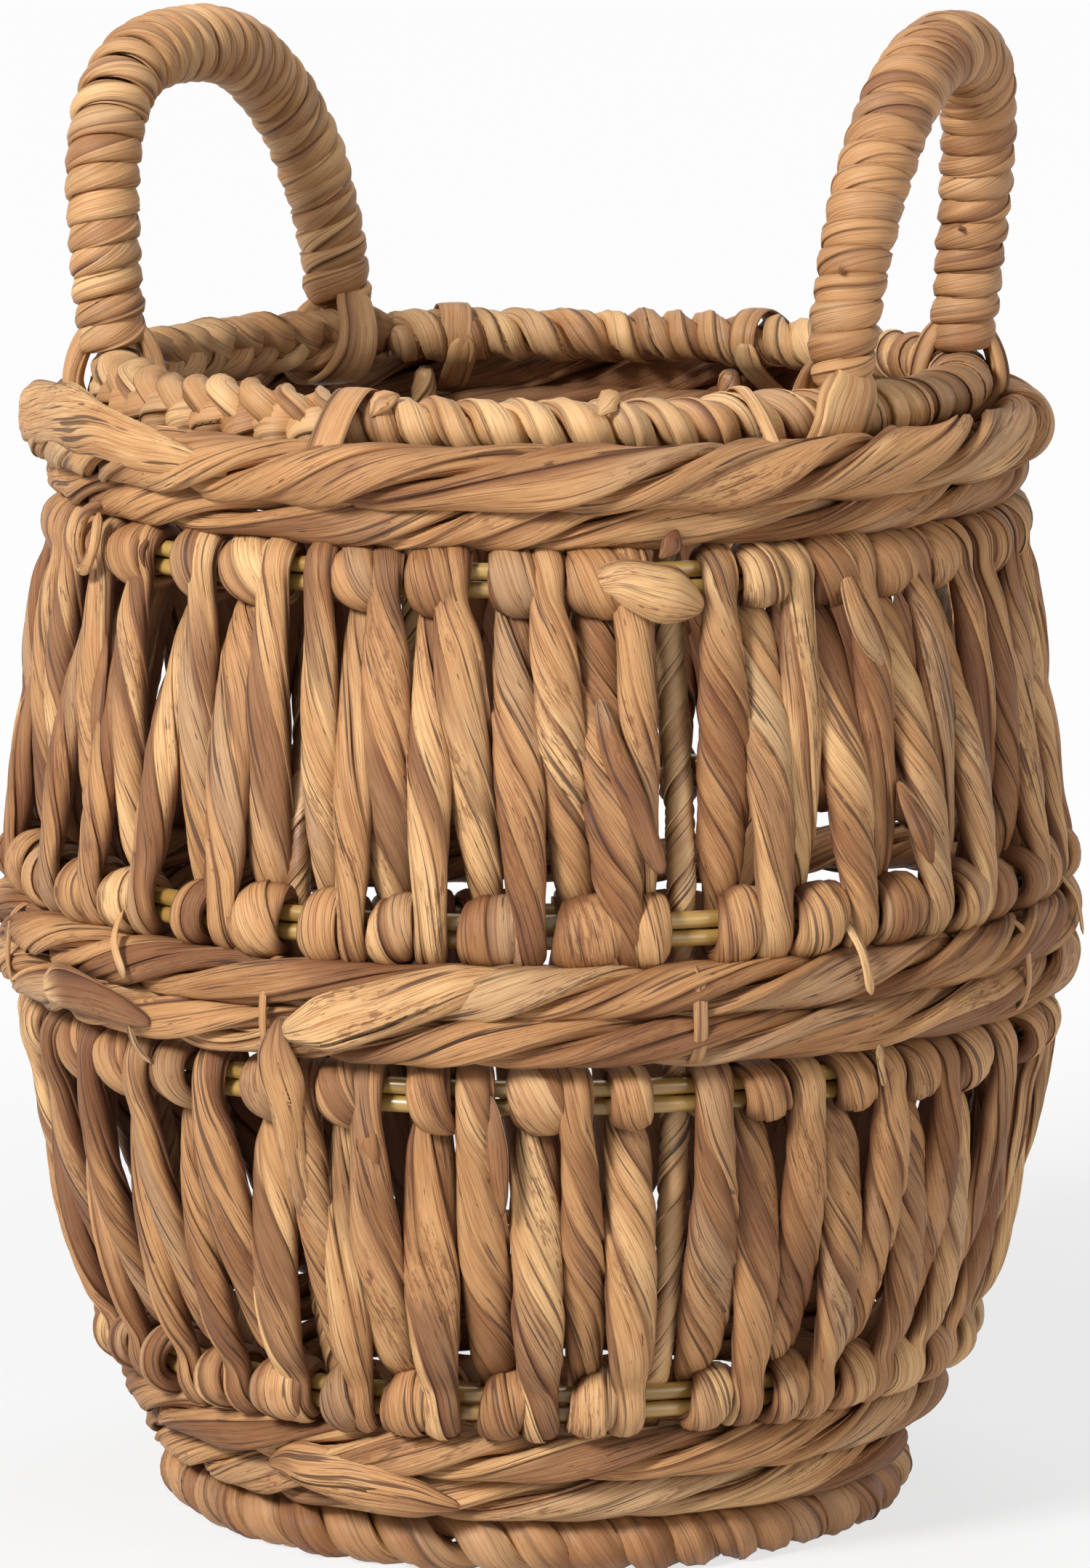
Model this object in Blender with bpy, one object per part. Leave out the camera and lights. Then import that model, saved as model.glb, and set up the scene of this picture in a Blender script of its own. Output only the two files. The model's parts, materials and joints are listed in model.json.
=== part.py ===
# Belly basket of twisted leaf strand on cane hoops, with two wrapped arch handles.
# Metres, +Z up, front towards -Y. The origin is on the floor, on the basket's axis.

import math

import bmesh
import bpy
import numpy as np
from mathutils import Vector

MM = 0.001

# Barrel: centre radii of the four hoops, and the rise of each panel from hoop to hoop
SHOULDER_RADIUS = 121.0 * MM
WAIST_TOP_RADIUS = 133.0 * MM
WAIST_LOW_STEP_IN = 4.0 * MM
BOTTOM_RADIUS = 108.7 * MM
UPPER_PANEL_RISE = 86.7 * MM
LOWER_PANEL_RISE = 83.4 * MM
CANE_RADIUS = 2.2 * MM
CANE_PAIR_GAP = 0.3 * MM

# Rim and foot plaits
RIM_THICK_RADIUS = 8.0 * MM
RIM_RISE = 11.9 * MM
RIM_STEP_IN = 16.4 * MM
FOOT_THICK_RADIUS = 8.1 * MM
FOOT_STEP_IN = 6.0 * MM
FOOT_ROPE_GAP = 0.9 * MM

# Ropes of two turns each: the rope's radius, and each level's step from the one it follows
COLLAR_ROPE_RADIUS = 5.2 * MM
COLLAR_LOW_STEP_OUT = 1.0 * MM
COLLAR_TOP_STEP_OUT = 5.5 * MM
COLLAR_TURN_GAP = 1.8 * MM
WAIST_ROPE_RADIUS = 5.9 * MM
WAIST_ROPE_STEP_OUT = 4.4 * MM
WAIST_TURN_GAP = 0.5 * MM
BASE_ROPE_RADIUS = 5.9 * MM
BASE_ROPE_TOP_STEP_IN = 4.7 * MM
BASE_ROPE_LOW_STEP_IN = 6.0 * MM
BASE_TURN_GAP = 1.2 * MM

# Wound strand of the two panels
STRAND_HALF_WIDTH_AT_HOOP = 4.9 * MM
STRAND_HALF_WIDTH_MID = 6.0 * MM
STRAND_HALF_THICK_AT_HOOP = 2.0 * MM
STRAND_HALF_THICK_MID = 4.4 * MM
UPPER_PANEL_BULGE = 4.5 * MM
LOWER_PANEL_BULGE = 7.0 * MM
WRAP_SIDE_GAP = 1.0 * MM
WRAP_CORNER = 1.2 * MM

# Ribs
RIB_RADIUS = 3.0 * MM
RIB_END_GAP = 0.6 * MM

# Base
MAT_THICKNESS = 4.5 * MM
MAT_STICK_RADIUS = 2.0 * MM
MAT_STICK_INSET = 6.0 * MM

# Handles
HANDLE_CORE_RADIUS = 7.2 * MM
HANDLE_WRAP_WALL = 1.9 * MM
HANDLE_RIDGE = 0.9 * MM
LEFT_HANDLE_RISE = 84.8 * MM
LEFT_HANDLE_SKEW = -6.0 * MM
RIGHT_HANDLE_RISE = 88.2 * MM
RIGHT_HANDLE_SKEW = -15.0 * MM
STRAP_WIDTH = 7.4 * MM
STRAP_THICKNESS = 1.5 * MM
STRAP_SIDE_GAP = 1.2 * MM
STRAP_NECK_GAP = 1.0 * MM
STRAP_NECK_LENGTH = 16.0 * MM
CORE_END_GAP = 0.7 * MM

# Ties
COLLAR_TIE_WIDTH = 8.0 * MM
WAIST_TIE_WIDTH = 4.5 * MM
TIE_THICKNESS = 1.0 * MM

# Gaps
TOUCH_GAP = 0.4 * MM
SEAT_GAP = 0.3 * MM
LEAST_FORM_GAP = 0.4 * MM

# Counts and angles
RIB_COUNT = 8
FIRST_RIB_AZIMUTH = math.radians(16.5)
RUNS_PER_BAY = 7
BAY_MARGIN = math.radians(4.5)
HOOP_FACETS = 36
ROPE_FACETS = 24
HANDLE_TURNS = 20
CORE_STEPS = 16
ARCH_POWER = 2.5
HANDLE_LEAN = math.radians(5.0)
HANDLE_SWING = math.radians(30.0)
LEFT_HANDLE_AZIMUTH = math.radians(-121.0)
LEFT_HANDLE_HALF_ANGLE = math.radians(30.0)
RIGHT_HANDLE_AZIMUTH = math.radians(68.4)
RIGHT_HANDLE_HALF_ANGLE = math.radians(25.6)
COLLAR_START = math.radians(-105.0)
COLLAR_CLIMB = math.radians(50.0)
WAIST_START = math.radians(170.0)
BASE_START = math.radians(118.0)
ROPE_CLIMB = math.radians(45.0)
ROPE_END_STEP = math.radians(1.0)
COLLAR_TIE_AZIMUTHS = [math.radians(a) for a in (-24.2, 27.0, 147.0, -168.0)]

# Leaf and cane colours, as red, green and blue, then roughness
LEAF_TAN = (0.50, 0.31, 0.16, 0.62)
LEAF_CREAM = (0.62, 0.42, 0.22, 0.58)
LEAF_BROWN = (0.40, 0.23, 0.12, 0.66)
CANE_OLIVE = (0.46, 0.31, 0.08, 0.30)
RIB_GLOSS = (0.42, 0.24, 0.10, 0.35)


def clear_scene():
    for item in list(bpy.data.objects):
        bpy.data.objects.remove(item, do_unlink=True)


def around(radius, azimuth, height):
    # azimuth 0 faces the front and grows towards +X
    return Vector((radius * math.sin(azimuth), -radius * math.cos(azimuth), height))


def outward(azimuth):
    return Vector((math.sin(azimuth), -math.cos(azimuth), 0.0))


def facet_least(radius, facets):
    # the smallest radius of a ring made of straight facets
    return radius * math.cos(math.pi / facets)


def facet_centre(radius, facets, azimuth):
    # the centre radius of a faceted ring at one azimuth
    pitch = 2.0 * math.pi / facets
    offset = (azimuth % pitch) - pitch / 2.0
    return radius * math.cos(pitch / 2.0) / math.cos(offset)


def make_finish(name, finish):
    material = bpy.data.materials.new(name + "_finish")
    material.use_nodes = True
    shader = material.node_tree.nodes["Principled BSDF"]
    red, green, blue, roughness = finish
    shader.inputs["Base Color"].default_value = (red, green, blue, 1.0)
    shader.inputs["Roughness"].default_value = roughness
    shader.inputs["Metallic"].default_value = 0.0
    material.diffuse_color = (red, green, blue, 1.0)
    return material


def add_object(name, bm, finish, parent=None):
    bmesh.ops.recalc_face_normals(bm, faces=bm.faces)
    mesh = bpy.data.meshes.new(name)
    if parent is not None:
        bmesh.ops.translate(bm, verts=bm.verts, vec=-parent.location)
    bm.to_mesh(mesh)
    bm.free()
    mesh.shade_smooth()
    mesh.set_sharp_from_angle(angle=math.radians(50.0))
    item = bpy.data.objects.new(name, mesh)
    item.data.materials.append(make_finish(name, finish))
    bpy.context.scene.collection.objects.link(item)
    item.parent = parent
    return item


def tangents_of(path, closed):
    tangents = []
    last = len(path) - 1
    for index, point in enumerate(path):
        before = path[index - 1] if closed or index > 0 else point
        after = path[(index + 1) % len(path)] if closed or index < last else point
        tangents.append((after - before).normalized())
    return tangents


def section_axes(path, sideways, closed):
    # two unit axes across the path at each point: sideways first, then square to both
    axes = []
    for tangent, side in zip(tangents_of(path, closed), sideways):
        flat = (side - tangent * side.dot(tangent)).normalized()
        axes.append((flat, tangent.cross(flat).normalized()))
    return axes


def add_tube(bm, path, sideways, widths, depths, sides, closed=False, phase=0.0):
    rings = []
    for point, (across, through), width, depth in zip(
            path, section_axes(path, sideways, closed), widths, depths):
        ring = []
        for step in range(sides):
            turn = phase + 2.0 * math.pi * step / sides
            offset = across * (width * math.cos(turn)) + through * (depth * math.sin(turn))
            ring.append(bm.verts.new(point + offset))
        rings.append(ring)
    spans = len(rings) if closed else len(rings) - 1
    for index in range(spans):
        near = rings[index]
        far = rings[(index + 1) % len(rings)]
        for step in range(sides):
            after = (step + 1) % sides
            bm.faces.new((near[step], near[after], far[after], far[step]))
    return rings


def cap_tube(bm, rings):
    bm.faces.new(list(reversed(rings[0])))
    bm.faces.new(rings[-1])


def tube_object(name, path, sideways, widths, depths, sides, finish,
                closed=False, phase=0.0, parent=None):
    bm = bmesh.new()
    rings = add_tube(bm, path, sideways, widths, depths, sides, closed, phase)
    if not closed:
        cap_tube(bm, rings)
    return add_object(name, bm, finish, parent)


def even_points(path, count):
    # the same route with points an equal length apart
    lengths = [0.0]
    for start, end in zip(path, path[1:]):
        lengths.append(lengths[-1] + (end - start).length)
    points = []
    span = 0
    for index in range(count):
        goal = lengths[-1] * index / (count - 1)
        while span < len(path) - 2 and lengths[span + 1] < goal:
            span += 1
        reach = lengths[span + 1] - lengths[span]
        share = min(1.0, (goal - lengths[span]) / reach)
        points.append(path[span].lerp(path[span + 1], share))
    return points


def least_self_gap(path, sideways, widths, depths, apart):
    # centre-line points between the path's own, each with its oval section
    points, across, through, half_widths, half_depths = [], [], [], [], []
    axes = section_axes(path, sideways, False)
    steps = 4
    for index in range(len(path) - 1):
        for step in range(steps):
            share = step / steps
            points.append(path[index].lerp(path[index + 1], share))
            across.append(axes[index][0].lerp(axes[index + 1][0], share).normalized())
            through.append(axes[index][1].lerp(axes[index + 1][1], share).normalized())
            half_widths.append(widths[index] * (1.0 - share) + widths[index + 1] * share)
            half_depths.append(depths[index] * (1.0 - share) + depths[index + 1] * share)
    places = np.array(points)
    lengths = np.concatenate(([0.0], np.cumsum(np.linalg.norm(np.diff(places, axis=0), axis=1))))
    lines = places[None, :, :] - places[:, None, :]
    spans = np.linalg.norm(lines, axis=2)
    far = np.abs(lengths[None, :] - lengths[:, None]) > apart
    directions = lines / np.maximum(spans, apart / len(points) / len(points))[:, :, None]
    wide = np.einsum("ijk,ik->ij", directions, np.array(across)) / np.array(half_widths)[:, None]
    deep = np.einsum("ijk,ik->ij", directions, np.array(through)) / np.array(half_depths)[:, None]
    largest = np.maximum(np.array(half_widths), np.array(half_depths))[:, None]
    ratio = np.maximum(np.sqrt(wide ** 2 + deep ** 2), 1.0 / largest)
    gaps = spans - 1.0 / ratio - 1.0 / ratio.T
    return float(gaps[far].min())


def report_gap(name, path, sideways, widths, depths, apart):
    gap = least_self_gap(path, sideways, widths, depths, apart)
    state = "clear" if gap > LEAST_FORM_GAP else "TOO CLOSE"
    print(f"{name}: least gap to itself {gap / MM:.2f} mm, {state}")


# Rings of the frame: plaits and hoop canes

def ring_object(name, radius, height, thick, sides, facets, finish, phase=0.0):
    azimuths = [2.0 * math.pi * step / facets for step in range(facets)]
    path = [around(radius, azimuth, height) for azimuth in azimuths]
    sideways = [outward(azimuth) for azimuth in azimuths]
    sizes = [thick] * facets
    return tube_object(name, path, sideways, sizes, sizes, sides, finish, True, phase)


CANE_OFFSET = CANE_RADIUS + CANE_PAIR_GAP / 2.0
PAIR_HALF_HEIGHT = CANE_OFFSET + CANE_RADIUS
WRAP_CENTRE_RISE = PAIR_HALF_HEIGHT + TOUCH_GAP + STRAND_HALF_THICK_AT_HOOP
WRAP_TOP_RISE = WRAP_CENTRE_RISE + STRAND_HALF_THICK_AT_HOOP


def stack_rise(reach, aside):
    # how far one round piece stands above another whose centre lies aside of it
    return math.sqrt(max(0.0, reach ** 2 - aside ** 2))


# Radii of the rings, from the hoops out or in to what lies on them
COLLAR_LOW_RADIUS = SHOULDER_RADIUS + COLLAR_LOW_STEP_OUT
COLLAR_TOP_RADIUS = COLLAR_LOW_RADIUS + COLLAR_TOP_STEP_OUT
RIM_RADIUS = COLLAR_TOP_RADIUS - RIM_STEP_IN
WAIST_LOW_RADIUS = WAIST_TOP_RADIUS - WAIST_LOW_STEP_IN
WAIST_ROPE_CENTRE = WAIST_TOP_RADIUS + WAIST_ROPE_STEP_OUT
BASE_ROPE_TOP_CENTRE = BOTTOM_RADIUS - BASE_ROPE_TOP_STEP_IN
BASE_ROPE_LOW_CENTRE = BASE_ROPE_TOP_CENTRE - BASE_ROPE_LOW_STEP_IN
FOOT_RADIUS = BASE_ROPE_LOW_CENTRE - FOOT_STEP_IN

# Heights of the rings, stacked from the floor
FOOT_PHASE = math.pi / 8.0
FOOT_HEIGHT = FOOT_THICK_RADIUS * math.cos(FOOT_PHASE)
FOOT_TOP = 2.0 * FOOT_HEIGHT
BASE_ROPE_LOW_HEIGHT = FOOT_HEIGHT + stack_rise(
    FOOT_THICK_RADIUS + BASE_ROPE_RADIUS + FOOT_ROPE_GAP, FOOT_STEP_IN)
BASE_ROPE_TOP_HEIGHT = BASE_ROPE_LOW_HEIGHT + stack_rise(
    2.0 * BASE_ROPE_RADIUS + BASE_TURN_GAP, BASE_ROPE_LOW_STEP_IN)
BOTTOM_HEIGHT = BASE_ROPE_TOP_HEIGHT + BASE_ROPE_RADIUS + TOUCH_GAP + WRAP_TOP_RISE
WAIST_LOW_HEIGHT = BOTTOM_HEIGHT + LOWER_PANEL_RISE
WAIST_ROPE_LOW_HEIGHT = WAIST_LOW_HEIGHT + WRAP_TOP_RISE + TOUCH_GAP + WAIST_ROPE_RADIUS
WAIST_ROPE_TOP_HEIGHT = WAIST_ROPE_LOW_HEIGHT + 2.0 * WAIST_ROPE_RADIUS + WAIST_TURN_GAP
WAIST_TOP_HEIGHT = WAIST_ROPE_TOP_HEIGHT + WAIST_ROPE_RADIUS + TOUCH_GAP + WRAP_TOP_RISE
SHOULDER_HEIGHT = WAIST_TOP_HEIGHT + UPPER_PANEL_RISE
COLLAR_LOW_HEIGHT = SHOULDER_HEIGHT + WRAP_TOP_RISE + TOUCH_GAP + COLLAR_ROPE_RADIUS
COLLAR_TOP_HEIGHT = COLLAR_LOW_HEIGHT + stack_rise(
    2.0 * COLLAR_ROPE_RADIUS + COLLAR_TURN_GAP, COLLAR_TOP_STEP_OUT)
RIM_HEIGHT = COLLAR_TOP_HEIGHT + RIM_RISE


def build_hoops():
    hoops = (("shoulder_hoop", SHOULDER_RADIUS, SHOULDER_HEIGHT),
             ("waist_top_hoop", WAIST_TOP_RADIUS, WAIST_TOP_HEIGHT),
             ("waist_low_hoop", WAIST_LOW_RADIUS, WAIST_LOW_HEIGHT),
             ("bottom_hoop", BOTTOM_RADIUS, BOTTOM_HEIGHT))
    for name, radius, height in hoops:
        ring_object(name + "_upper_cane", radius, height + CANE_OFFSET, CANE_RADIUS,
                    6, HOOP_FACETS, CANE_OLIVE)
        ring_object(name + "_lower_cane", radius, height - CANE_OFFSET, CANE_RADIUS,
                    6, HOOP_FACETS, CANE_OLIVE)


def build_plaits():
    ring_object("rim_plait", RIM_RADIUS, RIM_HEIGHT, RIM_THICK_RADIUS, 8, HOOP_FACETS, LEAF_CREAM)
    ring_object("foot_plait", FOOT_RADIUS, FOOT_HEIGHT, FOOT_THICK_RADIUS, 8, HOOP_FACETS,
                LEAF_TAN, FOOT_PHASE)


# Ropes: two turns, the upper one climbing down to the lower in part of a turn

def smooth_share(share):
    share = max(0.0, min(1.0, share))
    return share * share * (3.0 - 2.0 * share)


def rope_azimuths(start, climb):
    # the facets' own corners, with the rope's ends and the ends of its climb
    climb_end = start + 2.0 * math.pi - ROPE_END_STEP
    marks = [start, climb_end - climb, climb_end, climb_end + 2.0 * math.pi - climb - ROPE_END_STEP]
    pitch = 2.0 * math.pi / ROPE_FACETS
    first = math.ceil(start / pitch)
    last = math.floor(marks[-1] / pitch)
    corners = [pitch * step for step in range(first, last + 1)
               if min(abs(pitch * step - mark) for mark in marks) > pitch / 12.0]
    return sorted(marks + corners)


def build_rope(name, rope_radius, start, climb, top, low, finish):
    # top and low are the centre radius and height of the two levels
    azimuths = rope_azimuths(start, climb)
    climb_end = start + 2.0 * math.pi - ROPE_END_STEP
    path = []
    for azimuth in azimuths:
        share = smooth_share((azimuth - climb_end + climb) / climb)
        radius = top[0] + (low[0] - top[0]) * share
        height = top[1] + (low[1] - top[1]) * share
        path.append(around(facet_centre(radius, ROPE_FACETS, azimuth), azimuth, height))
    sideways = [outward(azimuth) for azimuth in azimuths]
    sizes = [rope_radius] * len(path)
    report_gap(name, path, sideways, sizes, sizes, math.pi * top[0])
    tube_object(name, path, sideways, sizes, sizes, 5, finish)


def build_ropes():
    build_rope("collar_rope", COLLAR_ROPE_RADIUS, COLLAR_START, COLLAR_CLIMB,
               (COLLAR_TOP_RADIUS, COLLAR_TOP_HEIGHT), (COLLAR_LOW_RADIUS, COLLAR_LOW_HEIGHT),
               LEAF_BROWN)
    build_rope("waist_rope", WAIST_ROPE_RADIUS, WAIST_START, ROPE_CLIMB,
               (WAIST_ROPE_CENTRE, WAIST_ROPE_TOP_HEIGHT),
               (WAIST_ROPE_CENTRE, WAIST_ROPE_LOW_HEIGHT), LEAF_TAN)
    build_rope("base_rope", BASE_ROPE_RADIUS, BASE_START, ROPE_CLIMB,
               (BASE_ROPE_TOP_CENTRE, BASE_ROPE_TOP_HEIGHT),
               (BASE_ROPE_LOW_CENTRE, BASE_ROPE_LOW_HEIGHT), LEAF_TAN)


# Panels: in each bay one strand runs up and down between two hoops

def hoop_front(radius):
    return radius + CANE_RADIUS + WRAP_SIDE_GAP + STRAND_HALF_THICK_AT_HOOP


def hoop_back(radius):
    least = facet_least(radius, HOOP_FACETS)
    return least - CANE_RADIUS - WRAP_SIDE_GAP - STRAND_HALF_THICK_AT_HOOP


def wrap_points(radius, height, up, azimuth_back, azimuth_front):
    # from behind a hoop, over or under it, to its front: back, two corners, front
    drift = azimuth_front - azimuth_back
    front = hoop_front(radius)
    back = hoop_back(radius)
    corner_height = height + up * WRAP_CENTRE_RISE
    side_height = height - up * CANE_OFFSET
    return [(back, azimuth_back, side_height),
            (back + WRAP_CORNER, azimuth_back + drift / 4.0, corner_height),
            (front - WRAP_CORNER, azimuth_front - drift / 4.0, corner_height),
            (front, azimuth_front, side_height)]


def build_bay(name, first_rib, top_hoop, low_hoop, bulge, finish):
    width = 2.0 * math.pi / RIB_COUNT - 2.0 * BAY_MARGIN
    azimuths = [first_rib + BAY_MARGIN + width * run / (RUNS_PER_BAY - 1)
                for run in range(RUNS_PER_BAY)]
    middle_radius = (top_hoop[0] + low_hoop[0]) / 2.0 + bulge
    middle_height = (top_hoop[1] + low_hoop[1]) / 2.0
    thin = (STRAND_HALF_WIDTH_AT_HOOP, STRAND_HALF_THICK_AT_HOOP)
    full = (STRAND_HALF_WIDTH_MID, STRAND_HALF_THICK_MID)
    stops = [(place, thin) for place in
             wrap_points(*top_hoop, 1.0, azimuths[0], azimuths[0])[1:]]
    for run, azimuth in enumerate(azimuths):
        stops.append(((middle_radius, azimuth, middle_height), full))
        hoop, up = (low_hoop, -1.0) if run % 2 == 0 else (top_hoop, 1.0)
        last = run == RUNS_PER_BAY - 1
        after = azimuth if last else azimuths[run + 1]
        turn = wrap_points(*hoop, up, azimuth, after)
        stops += [(place, thin) for place in (turn[:3] if last else turn)]
    path = [around(*place) for place, size in stops]
    sideways = [Vector((math.cos(place[1]), math.sin(place[1]), 0.0)) for place, size in stops]
    widths = [size[0] for place, size in stops]
    depths = [size[1] for place, size in stops]
    report_gap(name, path, sideways, widths, depths, 4.0 * WRAP_TOP_RISE)
    tube_object(name, path, sideways, widths, depths, 5, finish, phase=math.pi / 10.0)


def build_panels():
    shoulder = (SHOULDER_RADIUS, SHOULDER_HEIGHT)
    waist_top = (WAIST_TOP_RADIUS, WAIST_TOP_HEIGHT)
    waist_low = (WAIST_LOW_RADIUS, WAIST_LOW_HEIGHT)
    bottom = (BOTTOM_RADIUS, BOTTOM_HEIGHT)
    for bay in range(RIB_COUNT):
        rib = FIRST_RIB_AZIMUTH + 2.0 * math.pi * bay / RIB_COUNT
        build_bay(f"upper_panel_bay_{bay + 1}", rib, shoulder, waist_top,
                  UPPER_PANEL_BULGE, LEAF_TAN)
        build_bay(f"lower_panel_bay_{bay + 1}", rib, waist_low, bottom,
                  LOWER_PANEL_BULGE, LEAF_TAN)


# Ribs: one wrapped stake at each bay's edge, inside the hoops and ropes

RIM_UNDERSIDE = RIM_HEIGHT - RIM_THICK_RADIUS


def inside_ring(radius, facets, thick):
    return facet_least(radius, facets) - thick - TOUCH_GAP - RIB_RADIUS


RIB_AT_COLLAR = inside_ring(COLLAR_LOW_RADIUS, ROPE_FACETS, COLLAR_ROPE_RADIUS)
RIB_AT_SHOULDER = inside_ring(SHOULDER_RADIUS, HOOP_FACETS, CANE_RADIUS)
RIB_AT_WAIST_TOP = inside_ring(WAIST_TOP_RADIUS, HOOP_FACETS, CANE_RADIUS)
RIB_AT_ROPE = (inside_ring(WAIST_ROPE_CENTRE, ROPE_FACETS, WAIST_ROPE_RADIUS)
               - 2.0 * TIE_THICKNESS - TOUCH_GAP)
RIB_AT_WAIST_LOW = inside_ring(WAIST_LOW_RADIUS, HOOP_FACETS, CANE_RADIUS)
RIB_AT_BOTTOM = inside_ring(BOTTOM_RADIUS, HOOP_FACETS, CANE_RADIUS)
RIB_AT_BASE_TOP = inside_ring(BASE_ROPE_TOP_CENTRE, ROPE_FACETS, BASE_ROPE_RADIUS)
RIB_AT_BASE_LOW = inside_ring(BASE_ROPE_LOW_CENTRE, ROPE_FACETS, BASE_ROPE_RADIUS)


def build_ribs():
    rope_middle = (WAIST_ROPE_TOP_HEIGHT + WAIST_ROPE_LOW_HEIGHT) / 2.0
    profile = [(RIB_AT_BASE_LOW, FOOT_TOP + RIB_END_GAP),
               (RIB_AT_BASE_LOW, BASE_ROPE_LOW_HEIGHT + BASE_ROPE_RADIUS / 2.0),
               (RIB_AT_BASE_TOP, BASE_ROPE_TOP_HEIGHT + BASE_ROPE_RADIUS / 2.0),
               (RIB_AT_BOTTOM, BOTTOM_HEIGHT),
               (RIB_AT_WAIST_LOW, WAIST_LOW_HEIGHT),
               (min(RIB_AT_ROPE, RIB_AT_WAIST_TOP), rope_middle),
               (min(RIB_AT_ROPE, RIB_AT_WAIST_TOP), WAIST_TOP_HEIGHT),
               (RIB_AT_SHOULDER, SHOULDER_HEIGHT - PAIR_HALF_HEIGHT),
               (RIB_AT_COLLAR, COLLAR_LOW_HEIGHT),
               (RIM_RADIUS - RIB_RADIUS / 2.0, RIM_UNDERSIDE - RIB_END_GAP)]
    for index in range(RIB_COUNT):
        azimuth = FIRST_RIB_AZIMUTH + 2.0 * math.pi * index / RIB_COUNT
        path = [around(radius, azimuth, height) for radius, height in profile]
        along = Vector((math.cos(azimuth), math.sin(azimuth), 0.0))
        sizes = [RIB_RADIUS] * len(path)
        tube_object(f"rib_{index + 1}", path, [along] * len(path), sizes, sizes, 6, RIB_GLOSS)


# Base: a woven mat inside the foot plait, with one stick under it and one over it

MAT_RADIUS = (FOOT_RADIUS - FOOT_THICK_RADIUS * math.cos(FOOT_PHASE)
              - SEAT_GAP / math.cos(math.pi / HOOP_FACETS))
MAT_UNDERSIDE = FOOT_HEIGHT - MAT_THICKNESS / 2.0 + MAT_STICK_RADIUS
MAT_TOP = MAT_UNDERSIDE + MAT_THICKNESS


def build_stick(name, direction, height):
    reach = MAT_RADIUS - MAT_STICK_INSET
    path = [direction * -reach + Vector((0.0, 0.0, height)),
            direction * reach + Vector((0.0, 0.0, height))]
    sizes = [MAT_STICK_RADIUS] * 2
    tube_object(name, path, [Vector((0.0, 0.0, 1.0))] * 2, sizes, sizes, 8, CANE_OLIVE)


def build_base():
    bm = bmesh.new()
    bmesh.ops.create_cone(bm, cap_ends=True, segments=HOOP_FACETS, radius1=MAT_RADIUS,
                          radius2=MAT_RADIUS, depth=MAT_THICKNESS)
    middle = MAT_UNDERSIDE + MAT_THICKNESS / 2.0
    bmesh.ops.translate(bm, verts=bm.verts, vec=Vector((0.0, 0.0, middle)))
    add_object("base_mat", bm, LEAF_BROWN)
    build_stick("base_stick_under", Vector((1.0, 0.0, 0.0)),
                MAT_UNDERSIDE - SEAT_GAP - MAT_STICK_RADIUS)
    build_stick("base_stick_over", Vector((0.0, 1.0, 0.0)),
                MAT_TOP + SEAT_GAP + MAT_STICK_RADIUS)


# Handles: a cane core bent to an arch, its leaf winding, and two leaf straps round the rim

def strap_inner_side(half_angle):
    # the rim crosses the strap at the chord's angle, so its edges set the width
    return (STRAP_WIDTH / 2.0 * math.tan(half_angle) + RIM_THICK_RADIUS / math.cos(half_angle)
            + STRAP_SIDE_GAP)


def strap_inner_flat(half_angle):
    # room above and below the rim at the full swing
    across = RIM_THICK_RADIUS / math.cos(half_angle) * math.sin(HANDLE_SWING)
    upright = RIM_THICK_RADIUS * math.cos(HANDLE_SWING)
    shift = STRAP_WIDTH / 2.0 * math.tan(half_angle) * math.sin(HANDLE_SWING)
    return math.hypot(across, upright) + shift + TOUCH_GAP


def strap_outline(half_angle, leg_foot):
    side = strap_inner_side(half_angle) + STRAP_THICKNESS / 2.0
    flat = strap_inner_flat(half_angle) + STRAP_THICKNESS / 2.0
    neck = (STRAP_NECK_GAP + STRAP_THICKNESS) / 2.0
    first = math.acos(flat / side)
    steps = 8
    outline = [(neck, leg_foot + STRAP_NECK_LENGTH), (neck, flat)]
    for step in range(steps + 1):
        turn = first + (math.pi - 2.0 * first) * step / steps
        outline.append((side * math.sin(turn), side * math.cos(turn)))
    mirrored = [(-lateral, rise) for lateral, rise in reversed(outline)]
    return outline + mirrored


def build_strap(name, foot, half_angle, leg_foot, along, upward, normal, parent):
    path = [foot + normal * lateral + upward * rise
            for lateral, rise in strap_outline(half_angle, leg_foot)]
    half_widths = [STRAP_WIDTH / math.sqrt(2.0)] * len(path)
    half_depths = [STRAP_THICKNESS / math.sqrt(2.0)] * len(path)
    tube_object(name, path, [along] * len(path), half_widths, half_depths, 4, LEAF_TAN,
                phase=math.pi / 4.0, parent=parent)


def arch_points(half_span, leg_foot, rise, skew, count):
    # the top of the arch stands aside of its middle by the skew
    points = []
    steps = 240
    for step in range(steps + 1):
        turn = math.pi * step / steps
        reach = math.copysign(abs(math.cos(turn)) ** (2.0 / ARCH_POWER), math.cos(turn))
        lift = abs(math.sin(turn)) ** (2.0 / ARCH_POWER)
        aside = half_span * reach + skew * lift ** 2
        points.append(Vector((aside, 0.0, leg_foot + (rise - leg_foot) * lift)))
    return even_points(points, count)


def cut_at(route, index, height):
    # the point at one height between a point of the route and the next
    start, end = route[index], route[index + 1]
    return start.lerp(end, (height - start.z) / (end.z - start.z))


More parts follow.
